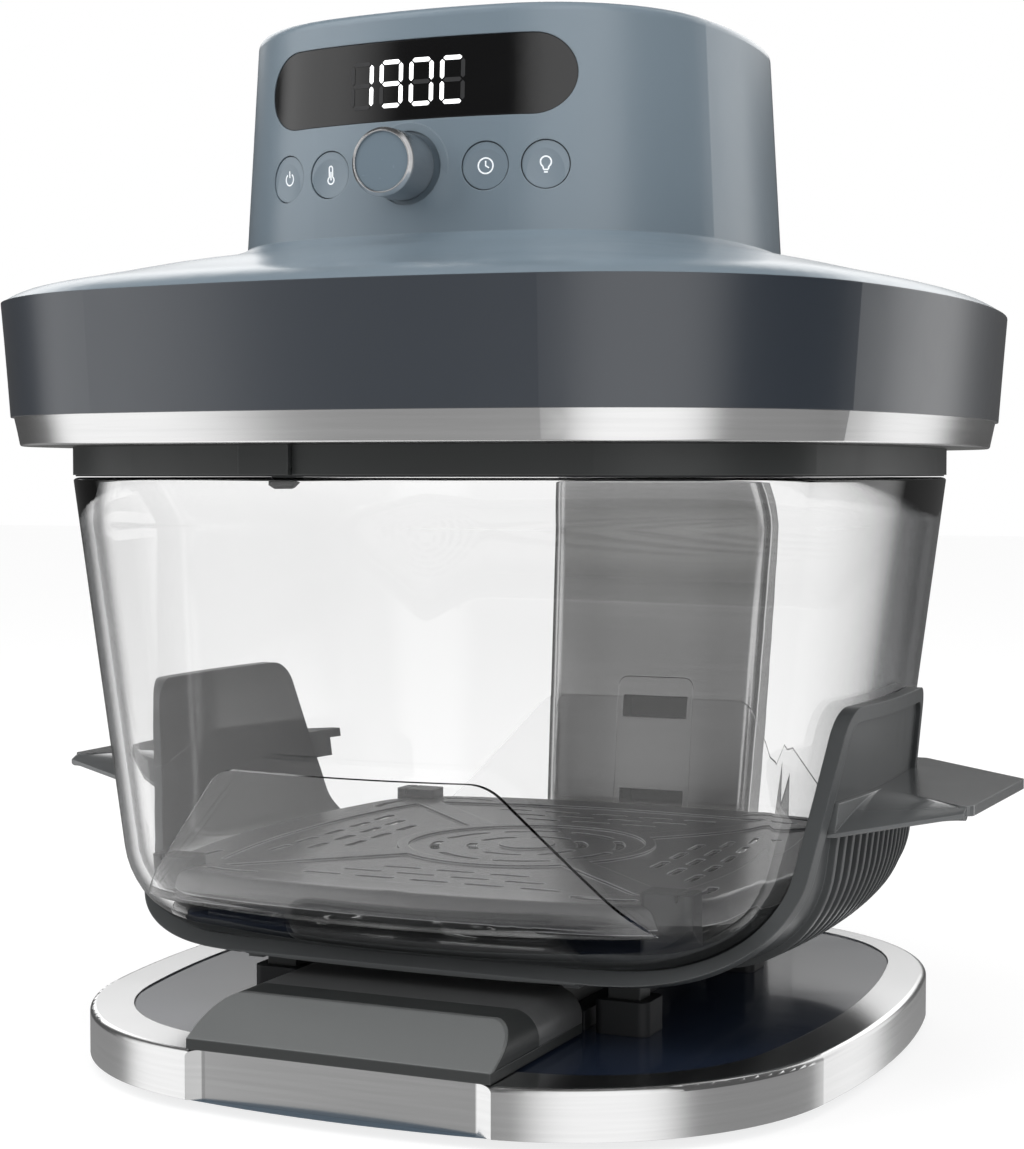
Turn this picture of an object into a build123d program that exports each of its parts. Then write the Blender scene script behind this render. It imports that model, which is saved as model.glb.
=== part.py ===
from build123d import *
import math
import os

# Glass air fryer: a pod head on a rear column, above a glass container that a wedge lever lifts to the seal.
# Millimetres. X is right as seen from the front, the front faces -Y, Z is up.
# The origin is on the worktop, under the middle of the head.

os.makedirs("parts", exist_ok=True)

# Clearances
running_gap = 0.3
seat_gap = 0.2
shaft_gap = 0.3

# Bowed square outlines: half width, half depth, side arc radius, corner arc radius, shift along Y
skirt_outline = (146.0, 157.5, 359.3, 85.5, 0.0)
tower_outline = (76.0, 75.8, 175.7, 53.4, -9.7)
glass_rim_outline = (126.6, 127.5, 363.0, 60.0, -2.0)
base_outline = (123.4, 130.5, 341.0, 85.3, -6.7)
plate_outline = (109.3, 116.7, 329.0, 60.3, -3.4)
crisper_outline = (98.5, 99.5, 334.0, 34.0, -2.0)

# Base
foot_height = 0.8
foot_radius = 8.0
foot_recess = 1.2
pan_floor = 2.4
pan_undercut = 9.0
rim_top_z = 17.5
rim_wall = 1.4
rim_edge_round = 1.8
notch_half = 47.8
notch_face_y = -132.0
notch_slope = 5.0
notch_round = 3.0
plate_top_z = 17.0
plate_thickness = 2.0
heel_back_y = 153.0
heel_margin = 8.0
pan_boss_radius = 6.0

# Column
column_back_y = 149.0
column_front_base_y = 108.0
column_lean = 0.122
column_half_base = 43.6
column_spread = 0.022
column_corner = 6.5
column_wall = 1.3
column_bottom_z = 3.2
window_panel_half = 16.0
window_panel_top_z = 105.0
window_panel_bottom_z = 26.0
window_half = 13.8
window_height = 8.0
window_top_z = (98.2, 63.5)
vent_half = 30.0
vent_bottom_z = 176.0
vent_height = 3.6
spine_half = 28.0
spine_front_y = 133.0
spine_wall = 2.2
cover_half = 36.0
cover_thickness = 2.0
cover_bottom_z = 12.0
gland_z = 30.0
gland_radius = 8.0
gland_bore_radius = 3.8
harness_radius = 3.2

# Lift lever and platform
lift_travel = 4.0
lever_stroke = 28.0
lever_half = 47.5
lever_top_z = 30.8
lever_base_z = 17.8
lever_base_thickness = 3.0
lever_front_y = -133.6
lever_slope_top_y = -115.0
lever_nose_back_y = -101.0
lever_back_y = -70.0
lever_corner = 8.0
lever_panel_thickness = 1.2
rail_inner = 27.0
rail_outer = 41.0
ramp_crest_z = 29.8
ramp_length = 58.0
ramp_starts = (-68.5, 0.0)
follower_length = 24.0
follower_setback = 3.0
track_lip = 1.6
track_width = 4.5
platform_half = 66.0
platform_front_y = -66.0
platform_back_y = 48.0
platform_top_z = 34.8
platform_thickness = 2.8
guide_x = 57.5
guide_ys = (-58.0, 38.0)
guide_block = (17.0, 15.0)
guide_leg = (10.0, 8.0)
guide_leg_bottom_z = 19.0
guide_block_top_z = 27.0

# Container
glass_top_z = 179.5
glass_bottom_z = 40.0
glass_draft = 0.13
glass_wall = 4.0
glass_bottom_radius = 30.0
cradle_gap = 0.3
cradle_wall = 3.0
cradle_lip = 1.6
cradle_lip_width = 4.6
cradle_rib = 2.2
cradle_rib_pitch = 6.2
cradle_rib_width = 1.8
cradle_rib_count = 14
cradle_rib_top_z = 76.0
tab_top_z = 113.0
runner_inner = 49.0
runner_outer = 54.0
guide_lip_width = 3.0
wing_top_z = 86.0
wing_thickness = 3.0
wing_tip_x = 153.5
wing_tip_front_y = -39.0
wing_tip_back_y = 30.0
wing_root_x = 113.5
wing_root_back_y = 70.0
wing_crease_y = -3.0
scoop_front_y = -47.0
scoop_bottom_z = 75.5
guard_gap = 0.35
guard_wall = 1.5
guard_top_z = 97.8
guard_bottom_z = 52.0
guard_top_half = 42.0
guard_bottom_half = 82.0
guard_lean = 8.0

# Crisper plate
crisper_top_z = 61.0
crisper_skin = 1.8
crisper_skirt = 6.5
crisper_emboss = 0.9
crisper_border = 17.0
crisper_rib = 9.0
crisper_hub_radius = 9.0
crisper_ring_radius = 42.0
crisper_ring_width = 3.6
crisper_row_reaches = (53.0, 62.0, 71.0)
bumper_size = (15.0, 11.0, 7.0)
bumper_offset = (80.0, 82.0)
bumper_rise = 3.4
bumper_notch = (4.0, 2.0)

# Head
head_floor_z = 188.8
head_floor_thickness = 2.6
collar_bottom_z = 180.2
collar_width = 12.0
gasket_inset = (0.8, 5.2)
gasket_height = 2.4
band_inset = (5.4, 3.6)
band_wall = 1.4
skirt_bottom_z = 197.4
skirt_top_z = 231.3
skirt_draft = 2.6
skirt_wall = 2.6
skirt_ledge = 7.0
tower_foot_z = 249.6
tower_top_z = 314.7
tower_spread = 0.048
tower_wall = 2.4
tower_edge_round = 3.0
shoulder_steps = ((231.3, 0.006), (234.0, 0.07), (238.0, 0.29), (242.0, 0.55), (246.0, 0.86), (249.6, 1.0))

# Front panel
display_centre = (-0.9, 294.1)
display_half = 49.9
display_height = 23.4
lens_thickness = 1.8
lens_setback = 0.2
control_z = 268.2
button_radius = 6.8
button_travel = 0.8
button_length = 6.2
button_gap = 0.25
button_places = {"power_button": -42.8, "temp_button": -26.4, "time_button": 24.1, "light_button": 41.3}
carrier_depth = 10.5
carrier_thickness = 1.8
carrier_half_height = 9.5
knob_z = 268.6
knob_radius = 9.75
knob_length = 16.0
knob_press = 1.0
knob_well_radius = 10.6
knob_well_depth = 1.2
knob_ring_width = 1.3
spindle_radius = 3.0
encoder_bush_radius = 4.6
board_y = -68.0
board_thickness = 1.6
power_board_y = 52.0

# Heating side of the head
cavity_inset = 15.0
cavity_wall = 1.2
cavity_roof_z = 226.0
grille_thickness = 1.4
grille_rings = (14.0, 27.0, 40.0, 53.0, 66.0, 79.0)
grille_slot_width = 7.0
fan_centre_y = -2.0
fan_radius = 44.0
fan_bottom_z = 201.5
fan_disc_z = 217.0
fan_blades = 10
fan_blade_root = 16.0
fan_skin = 1.4
fan_shaft_radius = 4.0
heater_tube_radius = 3.2
heater_z = 196.2
heater_inner_radius = 52.0
heater_pitch = 13.0
heater_half_turns = 7
heater_bend = 8.0
motor_radius = 31.0
motor_bottom_z = 236.0
motor_top_z = 272.0
blower_radius = 40.0
blower_top_z = 292.0
lamp_place = (78.0, 76.0)
lamp_radius = 9.0
sensor_place = (-78.0, -78.0)
sensor_radius = 2.2
interlock_x = (-31.0, -15.0)
interlock_tab_x = (-25.0, -17.0)
interlock_tab_y = (-122.9, -118.9)
interlock_tab_z = (176.0, 184.8)


def inset(outline, amount):
    half_x, half_y, side_r, corner_r, shift = outline
    return (half_x - amount, half_y - amount, side_r - amount, corner_r - amount, shift)


def corner_centre(outline):
    # The corner arc is tangent to both side arcs, so its centre is side_r - corner_r from both of theirs.
    half_x, half_y, side_r, corner_r, _ = outline
    half = math.hypot(half_x - side_r, half_y - side_r) / 2
    rise = math.sqrt((side_r - corner_r) ** 2 - half**2)
    along_x = (side_r - half_x) / (2 * half)
    along_y = (half_y - side_r) / (2 * half)
    return (half_x - side_r) / 2 - along_y * rise, (half_y - side_r) / 2 + along_x * rise


def toward(cx, cy, radius, tx, ty):
    reach = math.hypot(tx - cx, ty - cy)
    return cx + (tx - cx) / reach * radius, cy + (ty - cy) / reach * radius


def bowed_face(outline, z):
    half_x, half_y, side_r, corner_r, shift = outline
    cx, cy = corner_centre(outline)
    side = toward(half_x - side_r, 0, side_r, cx, cy)
    end = toward(0, half_y - side_r, side_r, cx, cy)
    way = toward(0, 0, 1, side[0] - cx + end[0] - cx, side[1] - cy + end[1] - cy)
    corner = (cx + way[0] * corner_r, cy + way[1] * corner_r)

    def at(point, sx, sy):
        return (point[0] * sx, point[1] * sy + shift, z)

    arcs = []
    for sx, sy in ((1, 1), (-1, -1)):
        arcs.append(ThreePointArc(at(side, sx, -sy), at((half_x, 0), sx, sy), at(side, sx, sy)))
        arcs.append(ThreePointArc(at(side, sx, sy), at(corner, sx, sy), at(end, sx, sy)))
        arcs.append(ThreePointArc(at(end, sx, sy), at((0, half_y), sx, sy), at(end, -sx, sy)))
        arcs.append(ThreePointArc(at(end, -sx, sy), at(corner, -sx, sy), at(side, -sx, sy)))
    return Face(Wire(arcs))


def bowed_block(low, low_z, high, high_z):
    return loft([bowed_face(low, low_z), bowed_face(high, high_z)], ruled=True)


def bowed_ring(outline, outer_inset, inner_inset, low_z, high_z):
    outer = bowed_block(inset(outline, outer_inset), low_z, inset(outline, outer_inset), high_z)
    inner = bowed_block(inset(outline, inner_inset), low_z - 1, inset(outline, inner_inset), high_z + 1)
    return outer - inner


def block(x0, x1, y0, y1, z0, z1):
    size = (x1 - x0, y1 - y0, z1 - z0)
    return Pos((x0 + x1) / 2, (y0 + y1) / 2, (z0 + z1) / 2) * Box(*size)


def rounded_block(x0, x1, y0, y1, z0, z1, radius):
    plan = Pos((x0 + x1) / 2, (y0 + y1) / 2, z0) * RectangleRounded(x1 - x0, y1 - y0, radius)
    return extrude(plan, z1 - z0)


def post(x, y, low_z, high_z, radius):
    return Pos(x, y, (low_z + high_z) / 2) * Cylinder(radius, high_z - low_z)


def along_y(x, z, front_y, back_y, radius):
    return Pos(x, (front_y + back_y) / 2, z) * Rot(90, 0, 0) * Cylinder(radius, back_y - front_y)


def mirrored(shape):
    return shape + shape.mirror(Plane.YZ)


def four_corners(x, y, centre_y=0.0):
    return [(sx * x, centre_y + sy * y) for sx in (-1, 1) for sy in (-1, 1)]


def spread(first, last, count):
    return [first + (last - first) * i / (count - 1) for i in range(count)]


def ring_of(shape, count, centre_y):
    turned = []
    for i in range(count):
        turned.append(Pos(0, centre_y, 0) * Rot(0, 0, 360.0 * i / count) * Pos(0, -centre_y, 0) * shape)
    return turned


def keep(name, shape):
    export_step(Compound(children=list(shape.solids())), f"parts/{name}.step")


# Base: a plastic pan on rubber feet, a brushed steel rim and a glossy top plate

pan_bottom_z = foot_height
pan_top_z = pan_bottom_z + pan_floor
plate_bottom_z = plate_top_z - plate_thickness
heel_half = column_half_base + heel_margin
foot_places = four_corners(82.0, 84.0, base_outline[4]) + [(-30.0, 141.0), (30.0, 141.0)]
pan_boss_places = [(sx * 96.0, y) for sx in (-1, 1) for y in (-62.0, -4.0, 54.0)]
pan_boss_places += [(-60.0, -98.0), (60.0, -98.0)]
screw_radius = 1.6
screw_head_radius = 3.2


spine_back_y = column_back_y - column_wall - cover_thickness - 1.2
spine_flange_front_y = 117.0
cover_screw_places = [(x, z) for x in (-32.0, 32.0) for z in (cover_bottom_z + 14, head_floor_z - 14)]


def column_front_y(z):
    return column_front_base_y + (z - plate_top_z) * column_lean


def column_half(z):
    return column_half_base + (z - plate_top_z) * column_spread


def column_form(skin, low_z, high_z):
    faces = []
    for z in (low_z, high_z):
        front = column_front_y(z) + skin
        back = column_back_y - skin
        width = 2 * (column_half(z) - skin)
        face = RectangleRounded(width, back - front, max(column_corner - skin, 1.0))
        faces.append(Pos(0, (front + back) / 2, z) * face)
    return loft(faces, ruled=True)


def pan():
    body = bowed_block(inset(base_outline, pan_undercut), pan_bottom_z, inset(base_outline, 0.7), pan_top_z)
    body += bowed_ring(base_outline, rim_wall + seat_gap, rim_wall + 2.6, pan_top_z, pan_top_z + 7.0)
    heel_z = rim_top_z
    heel = rounded_block(-heel_half, heel_half, 60, heel_back_y, pan_bottom_z, heel_z, 12.0)
    heel_front = column_front_base_y - 6.0
    body += heel - block(-200, 200, 0, heel_front, 0, 40)
    body -= column_form(-seat_gap, pan_top_z, rim_top_z + 5)
    wall = notch_face_y + rim_wall + seat_gap
    body -= block(-notch_half - 4, notch_half + 4, -200, wall, pan_top_z, 40)
    for x, y in pan_boss_places:
        body += post(x, y, pan_top_z, plate_bottom_z, pan_boss_radius)
        body -= post(x, y, pan_bottom_z - 1, plate_bottom_z + 1, screw_radius)
        body -= post(x, y, pan_bottom_z - 1, pan_bottom_z + 1.6, screw_head_radius + seat_gap)
    for x, y in foot_places:
        body -= post(x, y, 0, pan_bottom_z + foot_recess, foot_radius)
    return body


def feet():
    shape = Part()
    for x, y in foot_places:
        foot = post(x, y, 0, pan_bottom_z + foot_recess, foot_radius)
        shape += chamfer(foot.edges().group_by(Axis.Z)[0], 0.5)
    return shape


def rim_front_y(x):
    # Where the base's bowed front lies at this distance from the middle.
    _, half_y, side_r, _, shift = base_outline
    return shift - half_y + side_r - math.sqrt(side_r**2 - x**2)


def rim():
    outer = bowed_block(base_outline, pan_top_z, base_outline, rim_top_z)
    outer = fillet(outer.edges().group_by(Axis.Z)[-1], rim_edge_round)
    flat = notch_half - notch_slope
    edge_y = rim_front_y(notch_half)
    reach = 60.0
    fall = (notch_face_y - edge_y) / notch_slope * reach
    corners = [(-flat, notch_face_y), (flat, notch_face_y)]
    corners += [(flat + reach, notch_face_y - fall), (-flat - reach, notch_face_y - fall)]
    plan = make_face(Polyline(*corners, close=True))
    plan = fillet([v for v in plan.vertices() if v.Y > notch_face_y - 0.1], notch_round)
    notch = extrude(plan, 60)
    cavity = bowed_block(inset(base_outline, rim_wall), 0, inset(base_outline, rim_wall), rim_top_z - rim_wall)
    cavity -= block(-notch_half - rim_wall, notch_half + rim_wall, -200, notch_face_y + rim_wall, -1, 60)
    opening = inset(plate_outline, -seat_gap)
    body = outer - notch - cavity - bowed_block(opening, 0, opening, 40)
    heel = heel_half + running_gap
    return body - block(-heel, heel, 60, 200, 0, 40)


def top_plate():
    body = bowed_block(plate_outline, plate_bottom_z, plate_outline, plate_top_z)
    for x in (-guide_x, guide_x):
        for y in guide_ys:
            wide = guide_leg[0] / 2 + 1.0
            deep = guide_leg[1] / 2 + 1.0
            body -= block(x - wide, x + wide, y - deep, y + deep, 0, 40)
    heel_front = column_front_base_y - 6.0 - seat_gap
    return body - block(-heel_half - seat_gap, heel_half + seat_gap, heel_front, 200, 0, 40)


# Column: a steel shell round a channel that carries the head, with a back cover and a cord gland


def column_shell():
    body = column_form(0, column_bottom_z, head_floor_z)
    body -= column_form(column_wall, column_bottom_z - 5, head_floor_z + 5)
    gap = seat_gap
    body -= window_outline(-gap)
    vent_top = vent_bottom_z + vent_height
    body -= block(-vent_half - gap, vent_half + gap, 60, 140, vent_bottom_z - gap, vent_top + gap)
    rear = column_back_y - column_wall - 2.0
    return body - block(-cover_half - gap, cover_half + gap, rear, 200, cover_bottom_z - gap, head_floor_z + 5)


def window_outline(edge_gap):
    # The panel outline seen from the front, run back through the column's front wall.
    half = window_panel_half - edge_gap
    low = window_panel_bottom_z + edge_gap
    high = window_panel_top_z - edge_gap
    plan = Pos(0, (low + high) / 2) * RectangleRounded(2 * half, high - low, 4.0)
    return extrude(Plane.XZ * plan, -132.0)


def window_cuts(margin, back_y):
    cuts = Part()
    for top in window_top_z:
        low = top - window_height
        cuts += block(-window_half - margin, window_half + margin, 60, back_y, low - margin, top + margin)
    return cuts


def window_panel():
    skin = column_form(0, column_bottom_z, head_floor_z) - column_form(column_wall, 0, head_floor_z + 5)
    return (skin & window_outline(0)) - window_cuts(0, 132.0)


def window_pockets():
    depth_y = spine_front_y - 2.0
    body = column_form(column_wall, window_panel_bottom_z - 3, window_panel_top_z + 3)
    body &= block(-window_panel_half - 3, window_panel_half + 3, 60, depth_y, 0, 300)
    return body - window_cuts(0.6, depth_y - 2.5)


def column_vent():
    strip = column_form(0.8, vent_bottom_z, vent_bottom_z + vent_height)
    return strip & block(-vent_half, vent_half, 60, spine_front_y, 0, 300)


def spine():
    low = pan_top_z
    high = head_floor_z + head_floor_thickness
    body = block(-spine_half, spine_half, spine_front_y, spine_front_y + spine_wall, low, high + 2.4)
    body += mirrored(block(spine_half - spine_wall, spine_half, spine_front_y, spine_back_y, low, high + 2.4))
    lip_front = spine_back_y - spine_wall
    body += mirrored(block(spine_half, cover_half, lip_front, spine_back_y, cover_bottom_z + 4, head_floor_z - 2))
    foot_front = column_front_y(low) + column_wall + 2.0
    body += block(-spine_half, spine_half, foot_front, spine_back_y, low, low + 2.6)
    body += block(-spine_half - 12, spine_half + 12, spine_flange_front_y, spine_back_y, high, high + 2.4)
    for x, z in cover_screw_places:
        body -= along_y(x, z, 100, 200, screw_radius)
    body -= block(-spine_half + 6, spine_half - 6, spine_front_y + spine_wall, 160, high - 5, high + 3)
    return body


def back_cover():
    front = column_back_y - cover_thickness
    body = block(-cover_half, cover_half, front, column_back_y, cover_bottom_z, head_floor_z)
    body += block(-cover_half - 3, cover_half + 3, spine_back_y, front, cover_bottom_z + 6, head_floor_z - 4)
    inner = spine_half - spine_wall
    body -= block(-inner, inner, 100, front, cover_bottom_z + 9, head_floor_z - 7)
    body -= along_y(0, gland_z, 100, 200, gland_radius - 2.0)
    for x, z in cover_screw_places:
        body -= along_y(x, z, 100, 200, screw_radius)
        body -= along_y(x, z, column_back_y - 1.2, 200, screw_head_radius + seat_gap)
    return body


def cord_gland():
    front = column_back_y - cover_thickness
    body = along_y(0, gland_z, front, column_back_y, gland_radius - 2.0)
    body += along_y(0, gland_z, column_back_y, column_back_y + 2.5, gland_radius)
    body += along_y(0, gland_z, front - 2.6, front, gland_radius)
    return body - along_y(0, gland_z, 100, 200, gland_bore_radius)


def wiring_harness():
    y = spine_front_y + spine_wall + harness_radius + 0.1
    low = pan_top_z + 2.6
    return post(0, y, low, head_floor_z + head_floor_thickness + 8, harness_radius)


# Lift: the lever slides forward and its two pairs of ramps let the platform down

lever_base_top_z = lever_base_z + lever_base_thickness
lift_ratio = lift_travel / lever_stroke
rail_gap = running_gap
platform_under_z = platform_top_z - platform_thickness


def lever_bar(front_y, back_y, skin=0.0):
    plan = Pos(0, (lever_base_top_z + lever_top_z) / 2 - 5) * RectangleRounded(
        2 * (lever_half - skin), lever_top_z - lever_base_top_z + 10 - 2 * skin, lever_corner - skin
    )
    bar = extrude(Plane.XZ.offset(-back_y) * plan, back_y - front_y)
    return bar - block(-100, 100, -300, 300, -20, lever_base_top_z)


def slope_cut(setback):
    # Everything in front of the sloping face, moved back square to it by the setback.
    rise = lever_top_z - lever_base_top_z
    run = lever_slope_top_y - lever_front_y
    tilt = math.degrees(math.atan2(rise, run))
    face = Pos(0, lever_front_y, lever_base_top_z) * Rot(tilt, 0, 0)
    return face * Pos(0, 0, 40 - setback) * Box(300, 160, 80)


def lever_nose():
    return lever_bar(lever_front_y, lever_nose_back_y) - slope_cut(lever_panel_thickness)


def lever_panel():
    return lever_bar(lever_front_y, lever_nose_back_y) - slope_cut(0) - lever_nose()


def lever_sleeve():
    body = lever_bar(lever_nose_back_y, lever_back_y)
    wall = 1.4
    hollow = lever_bar(lever_nose_back_y - 1, lever_back_y + 1, wall)
    return body - hollow


def ramp_rail(x0, x1):
    rail = Part()
    for start in ramp_starts:
        low = ramp_crest_z - ramp_length * lift_ratio
        side = Polyline(
            (start, lever_base_top_z),
            (start, ramp_crest_z),
            (start + ramp_length, low),
            (start + ramp_length, lever_base_top_z),
            close=True,
        )
        wedge = extrude(Plane.YZ * make_face(side), x1 - x0)
        rail += Pos(x0, 0, 0) * wedge
    return rail


def lever_slide():
    tail_y = ramp_starts[1] + ramp_length
    body = block(-lever_half, lever_half, lever_front_y, lever_back_y, lever_base_z, lever_base_top_z)
    body += block(-rail_outer, rail_outer, lever_back_y, tail_y, lever_base_z, lever_base_top_z)
    body += ramp_rail(rail_inner, rail_outer - 2.0)
    body += ramp_rail(-rail_outer + 2.0, -rail_inner)
    inner = rail_inner - 6.0
    return body - rounded_block(-inner, inner, lever_back_y + 8, tail_y - 8, 0, 40, 5.0)


def lever_track():
    tail_y = ramp_starts[1] + ramp_length
    x0 = rail_outer + rail_gap
    height = lever_base_top_z + rail_gap
    side = block(x0, x0 + track_width, lever_back_y + 6, tail_y, plate_top_z, height + track_lip)
    side += block(x0 - track_lip, x0 + 1, lever_back_y + 6, tail_y, height, height + track_lip)
    return mirrored(side)


def guide_blocks():
    body = Part()
    wide, deep = guide_block
    for x in (-guide_x, guide_x):
        for y in guide_ys:
            bore_x = guide_leg[0] / 2 + running_gap
            bore_y = guide_leg[1] / 2 + running_gap
            foot = rounded_block(
                x - wide / 2, x + wide / 2, y - deep / 2, y + deep / 2, plate_top_z, guide_block_top_z, 3.0
            )
            body += foot - block(x - bore_x, x + bore_x, y - bore_y, y + bore_y, 0, 60)
    return body


def lift_platform():
    body = rounded_block(
        -platform_half, platform_half, platform_front_y, platform_back_y, platform_under_z, platform_top_z, 6.0
    )
    lip = block(
        runner_outer + running_gap,
        runner_outer + running_gap + guide_lip_width,
        platform_front_y + 6,
        platform_back_y - 6,
        platform_top_z,
        platform_top_z + 1.3,
    )
    body += mirrored(lip)
    for x in (-guide_x, guide_x):
        for y in guide_ys:
            wide, deep = guide_leg
            body += block(x - wide / 2, x + wide / 2, y - deep / 2, y + deep / 2, guide_leg_bottom_z, platform_under_z)
    follower = Part()
    for start in ramp_starts:
        front = start + follower_setback
        back = front + follower_length
        front_z = ramp_crest_z - follower_setback * lift_ratio + running_gap
        back_z = front_z - follower_length * lift_ratio
        side = Polyline(
            (front, platform_under_z), (front, front_z), (back, back_z), (back, platform_under_z), close=True
        )
        pad = extrude(Plane.YZ * make_face(side), rail_outer - rail_inner - 3.0)
        follower += Pos(rail_inner + 0.5, 0, 0) * pad
    body += mirrored(follower)
    # Room for the rear ramp's crest, which comes forward as the platform sinks.
    relief_back = ramp_starts[1] + 1.0
    relief_front = ramp_starts[1] - lever_stroke - 2.0
    inner = rail_inner - running_gap
    body -= mirrored(block(inner, rail_outer, relief_front, relief_back, 0, 60))
    return body - rounded_block(-20, 20, platform_front_y + 14, platform_back_y - 14, 0, 60, 6.0)


# Container: a glass bowl in a plastic cradle with wing handles, two clear guards and a crisper plate


def glass_outline(z, grow=0.0):
    return inset(glass_rim_outline, glass_draft * (glass_top_z - z) - grow)


def glass_form(grow, top_z=glass_top_z):
    low_z = glass_bottom_z - grow
    body = bowed_block(glass_outline(low_z, grow), low_z, glass_outline(top_z, grow), top_z)
    return fillet(body.edges().group_by(Axis.Z)[0], glass_bottom_radius + grow)


def glass_bowl():
    body = glass_form(0) - glass_form(-glass_wall, glass_top_z + 5)
    rim_edges = body.edges().group_by(Axis.Z)[-1]
    return fillet(rim_edges, 1.2)


def cradle_side(shrink):
    # Side view of the cradle: high tabs in the middle that sweep down and out to the front and back hoops.
    centre = glass_rim_outline[4]
    half = [(88.0, 30.0), (88.0, 37.0), (66.0, 50.0), (58.0, 62.0), (50.0, 87.0), (42.0, tab_top_z)]
    points = [(centre + y, z) for y, z in half] + [(centre - y, z) for y, z in reversed(half)]
    face = make_face(Polyline(*points, close=True))
    tips = [v for v in face.vertices() if v.Y > tab_top_z - 1]
    face = fillet(tips, 11.0)
    knees = [v for v in face.vertices() if 49 < v.Y < 63]
    face = fillet(knees, 20.0)
    if shrink:
        face = offset(face, -shrink, kind=Kind.INTERSECTION)
    return extrude(Plane.YZ.offset(-200) * face, 400)


def cradle():
    skin = cradle_gap
    hollow = glass_form(skin, tab_top_z + 10)
    outer_wall = glass_form(skin + cradle_wall, tab_top_z + 9) - hollow
    lip_wall = glass_form(skin + cradle_wall + cradle_lip, tab_top_z + 8) - hollow
    whole = cradle_side(0)
    inner = cradle_side(cradle_lip_width)
    body = (outer_wall & whole) + (lip_wall & (whole - inner))
    rib_form = glass_form(skin + cradle_wall + cradle_rib, tab_top_z + 8) - glass_form(skin + cradle_wall - 0.5, 130)
    span = cradle_rib_pitch * (cradle_rib_count - 1) / 2
    centre = glass_rim_outline[4]
    slabs = Part()
    for y in spread(centre - span, centre + span, cradle_rib_count):
        slab = block(72, 160, y - cradle_rib_width / 2, y + cradle_rib_width / 2, 20, cradle_rib_top_z)
        slabs += slab
    ribs = rib_form & slabs
    body += mirrored(ribs)
    under_z = glass_bottom_z - skin - cradle_wall
    runner = block(
        runner_inner, runner_outer, centre - 86, centre + 86, platform_top_z + running_gap, under_z + 0.5
    )
    body += mirrored(runner)
    slot_in = runner_outer
    slot_out = runner_outer + 2 * running_gap + guide_lip_width
    body -= mirrored(block(slot_in, slot_out, -150, 150, 30, under_z))
    for side in (-1, 1):
        near, far = sorted((centre + side * 68, centre + side * 81))
        body -= rounded_block(-44, 44, near, far, 30, 60, 5.0)
    return body


def wing_scoop():
    sections = []
    root = (wing_root_x, scoop_front_y, scoop_bottom_z, wing_crease_y)
    tip = (wing_tip_x - 1.5, wing_tip_front_y - 0.5, wing_top_z - wing_thickness, wing_tip_front_y + 4.0)
    for x, front, low, crease in (root, tip):
        skin = wing_thickness
        drop = wing_top_z - low
        mid_y = front + (crease - front) * 0.42
        upper = ThreePointArc((front, low + 1.2), (mid_y, low + drop * 0.72), (crease, wing_top_z))
        lower = ThreePointArc((crease, wing_top_z - skin), (mid_y + 1.5, low + drop * 0.72 - skin), (front, low))
        edges = [upper, Line(upper @ 1, lower @ 0), lower, Line(lower @ 1, upper @ 0)]
        sections.append(Plane.YZ.offset(x) * Face(Wire(edges)))
    return loft(sections, ruled=True)


def wing(side):
    low = wing_top_z - wing_thickness
    corners = [
        (wing_root_x - 8, wing_crease_y),
        (wing_root_x, wing_crease_y),
        (wing_tip_x, wing_tip_front_y),
        (wing_tip_x + 1.0, wing_tip_back_y),
        (wing_root_x, wing_root_back_y),
        (wing_root_x - 8, wing_root_back_y),
    ]
    plan = make_face(Polyline(*corners, close=True))
    tips = [v for v in plan.vertices() if v.X > wing_tip_x - 1]
    plan = fillet(tips, 2.5)
    body = extrude(Pos(0, 0, low) * plan, wing_thickness)
    body += wing_scoop()
    pad_form = glass_form(cradle_gap + cradle_wall + 2.4, 100) - glass_form(cradle_gap + cradle_wall, 110)
    pad = pad_form & block(90, 160, scoop_front_y + 1, wing_root_back_y - 6, scoop_bottom_z + 1, wing_top_z)
    body += pad
    body -= glass_form(cradle_gap + cradle_wall, 120)
    body -= block(0, 200, scoop_front_y - 1, wing_root_back_y, 60, cradle_rib_top_z)
    lean = cradle_side(0)
    body -= (glass_form(cradle_gap + cradle_wall + cradle_lip + 0.05, 130) - glass_form(0, 125)) & (
        lean - cradle_side(cradle_lip_width + 0.05)
    )
    body = max(body.solids(), key=lambda s: s.volume)
    return Part() + (body if side > 0 else body.mirror(Plane.YZ))


def guard(side):
    outer = glass_form(guard_gap + guard_wall, guard_top_z + 10)
    body = outer - glass_form(guard_gap, guard_top_z + 15)
    points = [
        (-guard_bottom_half, guard_bottom_z),
        (guard_bottom_half, guard_bottom_z),
        (guard_top_half, guard_top_z),
        (-guard_top_half, guard_top_z),
    ]
    face = make_face(Polyline(*points, close=True))
    tips = [v for v in face.vertices() if v.Y > guard_top_z - 1]
    face = fillet(tips, 12.0)
    window = extrude(Plane.XZ * face, 200 if side < 0 else -200)
    body &= window
    if side < 0:
        # The front guard leans out from the glass, away from its seat in the hoop.
        hinge_y = glass_rim_outline[4] - glass_outline(guard_bottom_z)[1]
        body = body.rotate(Axis((0, hinge_y, guard_bottom_z), (1, 0, 0)), guard_lean)
        body -= glass_form(guard_gap, guard_top_z + 15)
    clear = glass_form(cradle_gap + cradle_wall + cradle_lip + 0.3, 130)
    body -= clear & cradle_side(0)
    return Part() + max(body.solids(), key=lambda s: s.volume)


def crisper_slot(radius, width, start, end):
    middle = (start + end) / 2
    path = [
        Vector(radius * math.cos(math.radians(a)), radius * math.sin(math.radians(a))) for a in (start, middle, end)
    ]
    return SlotArc(ThreePointArc(*path), width)


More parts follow.
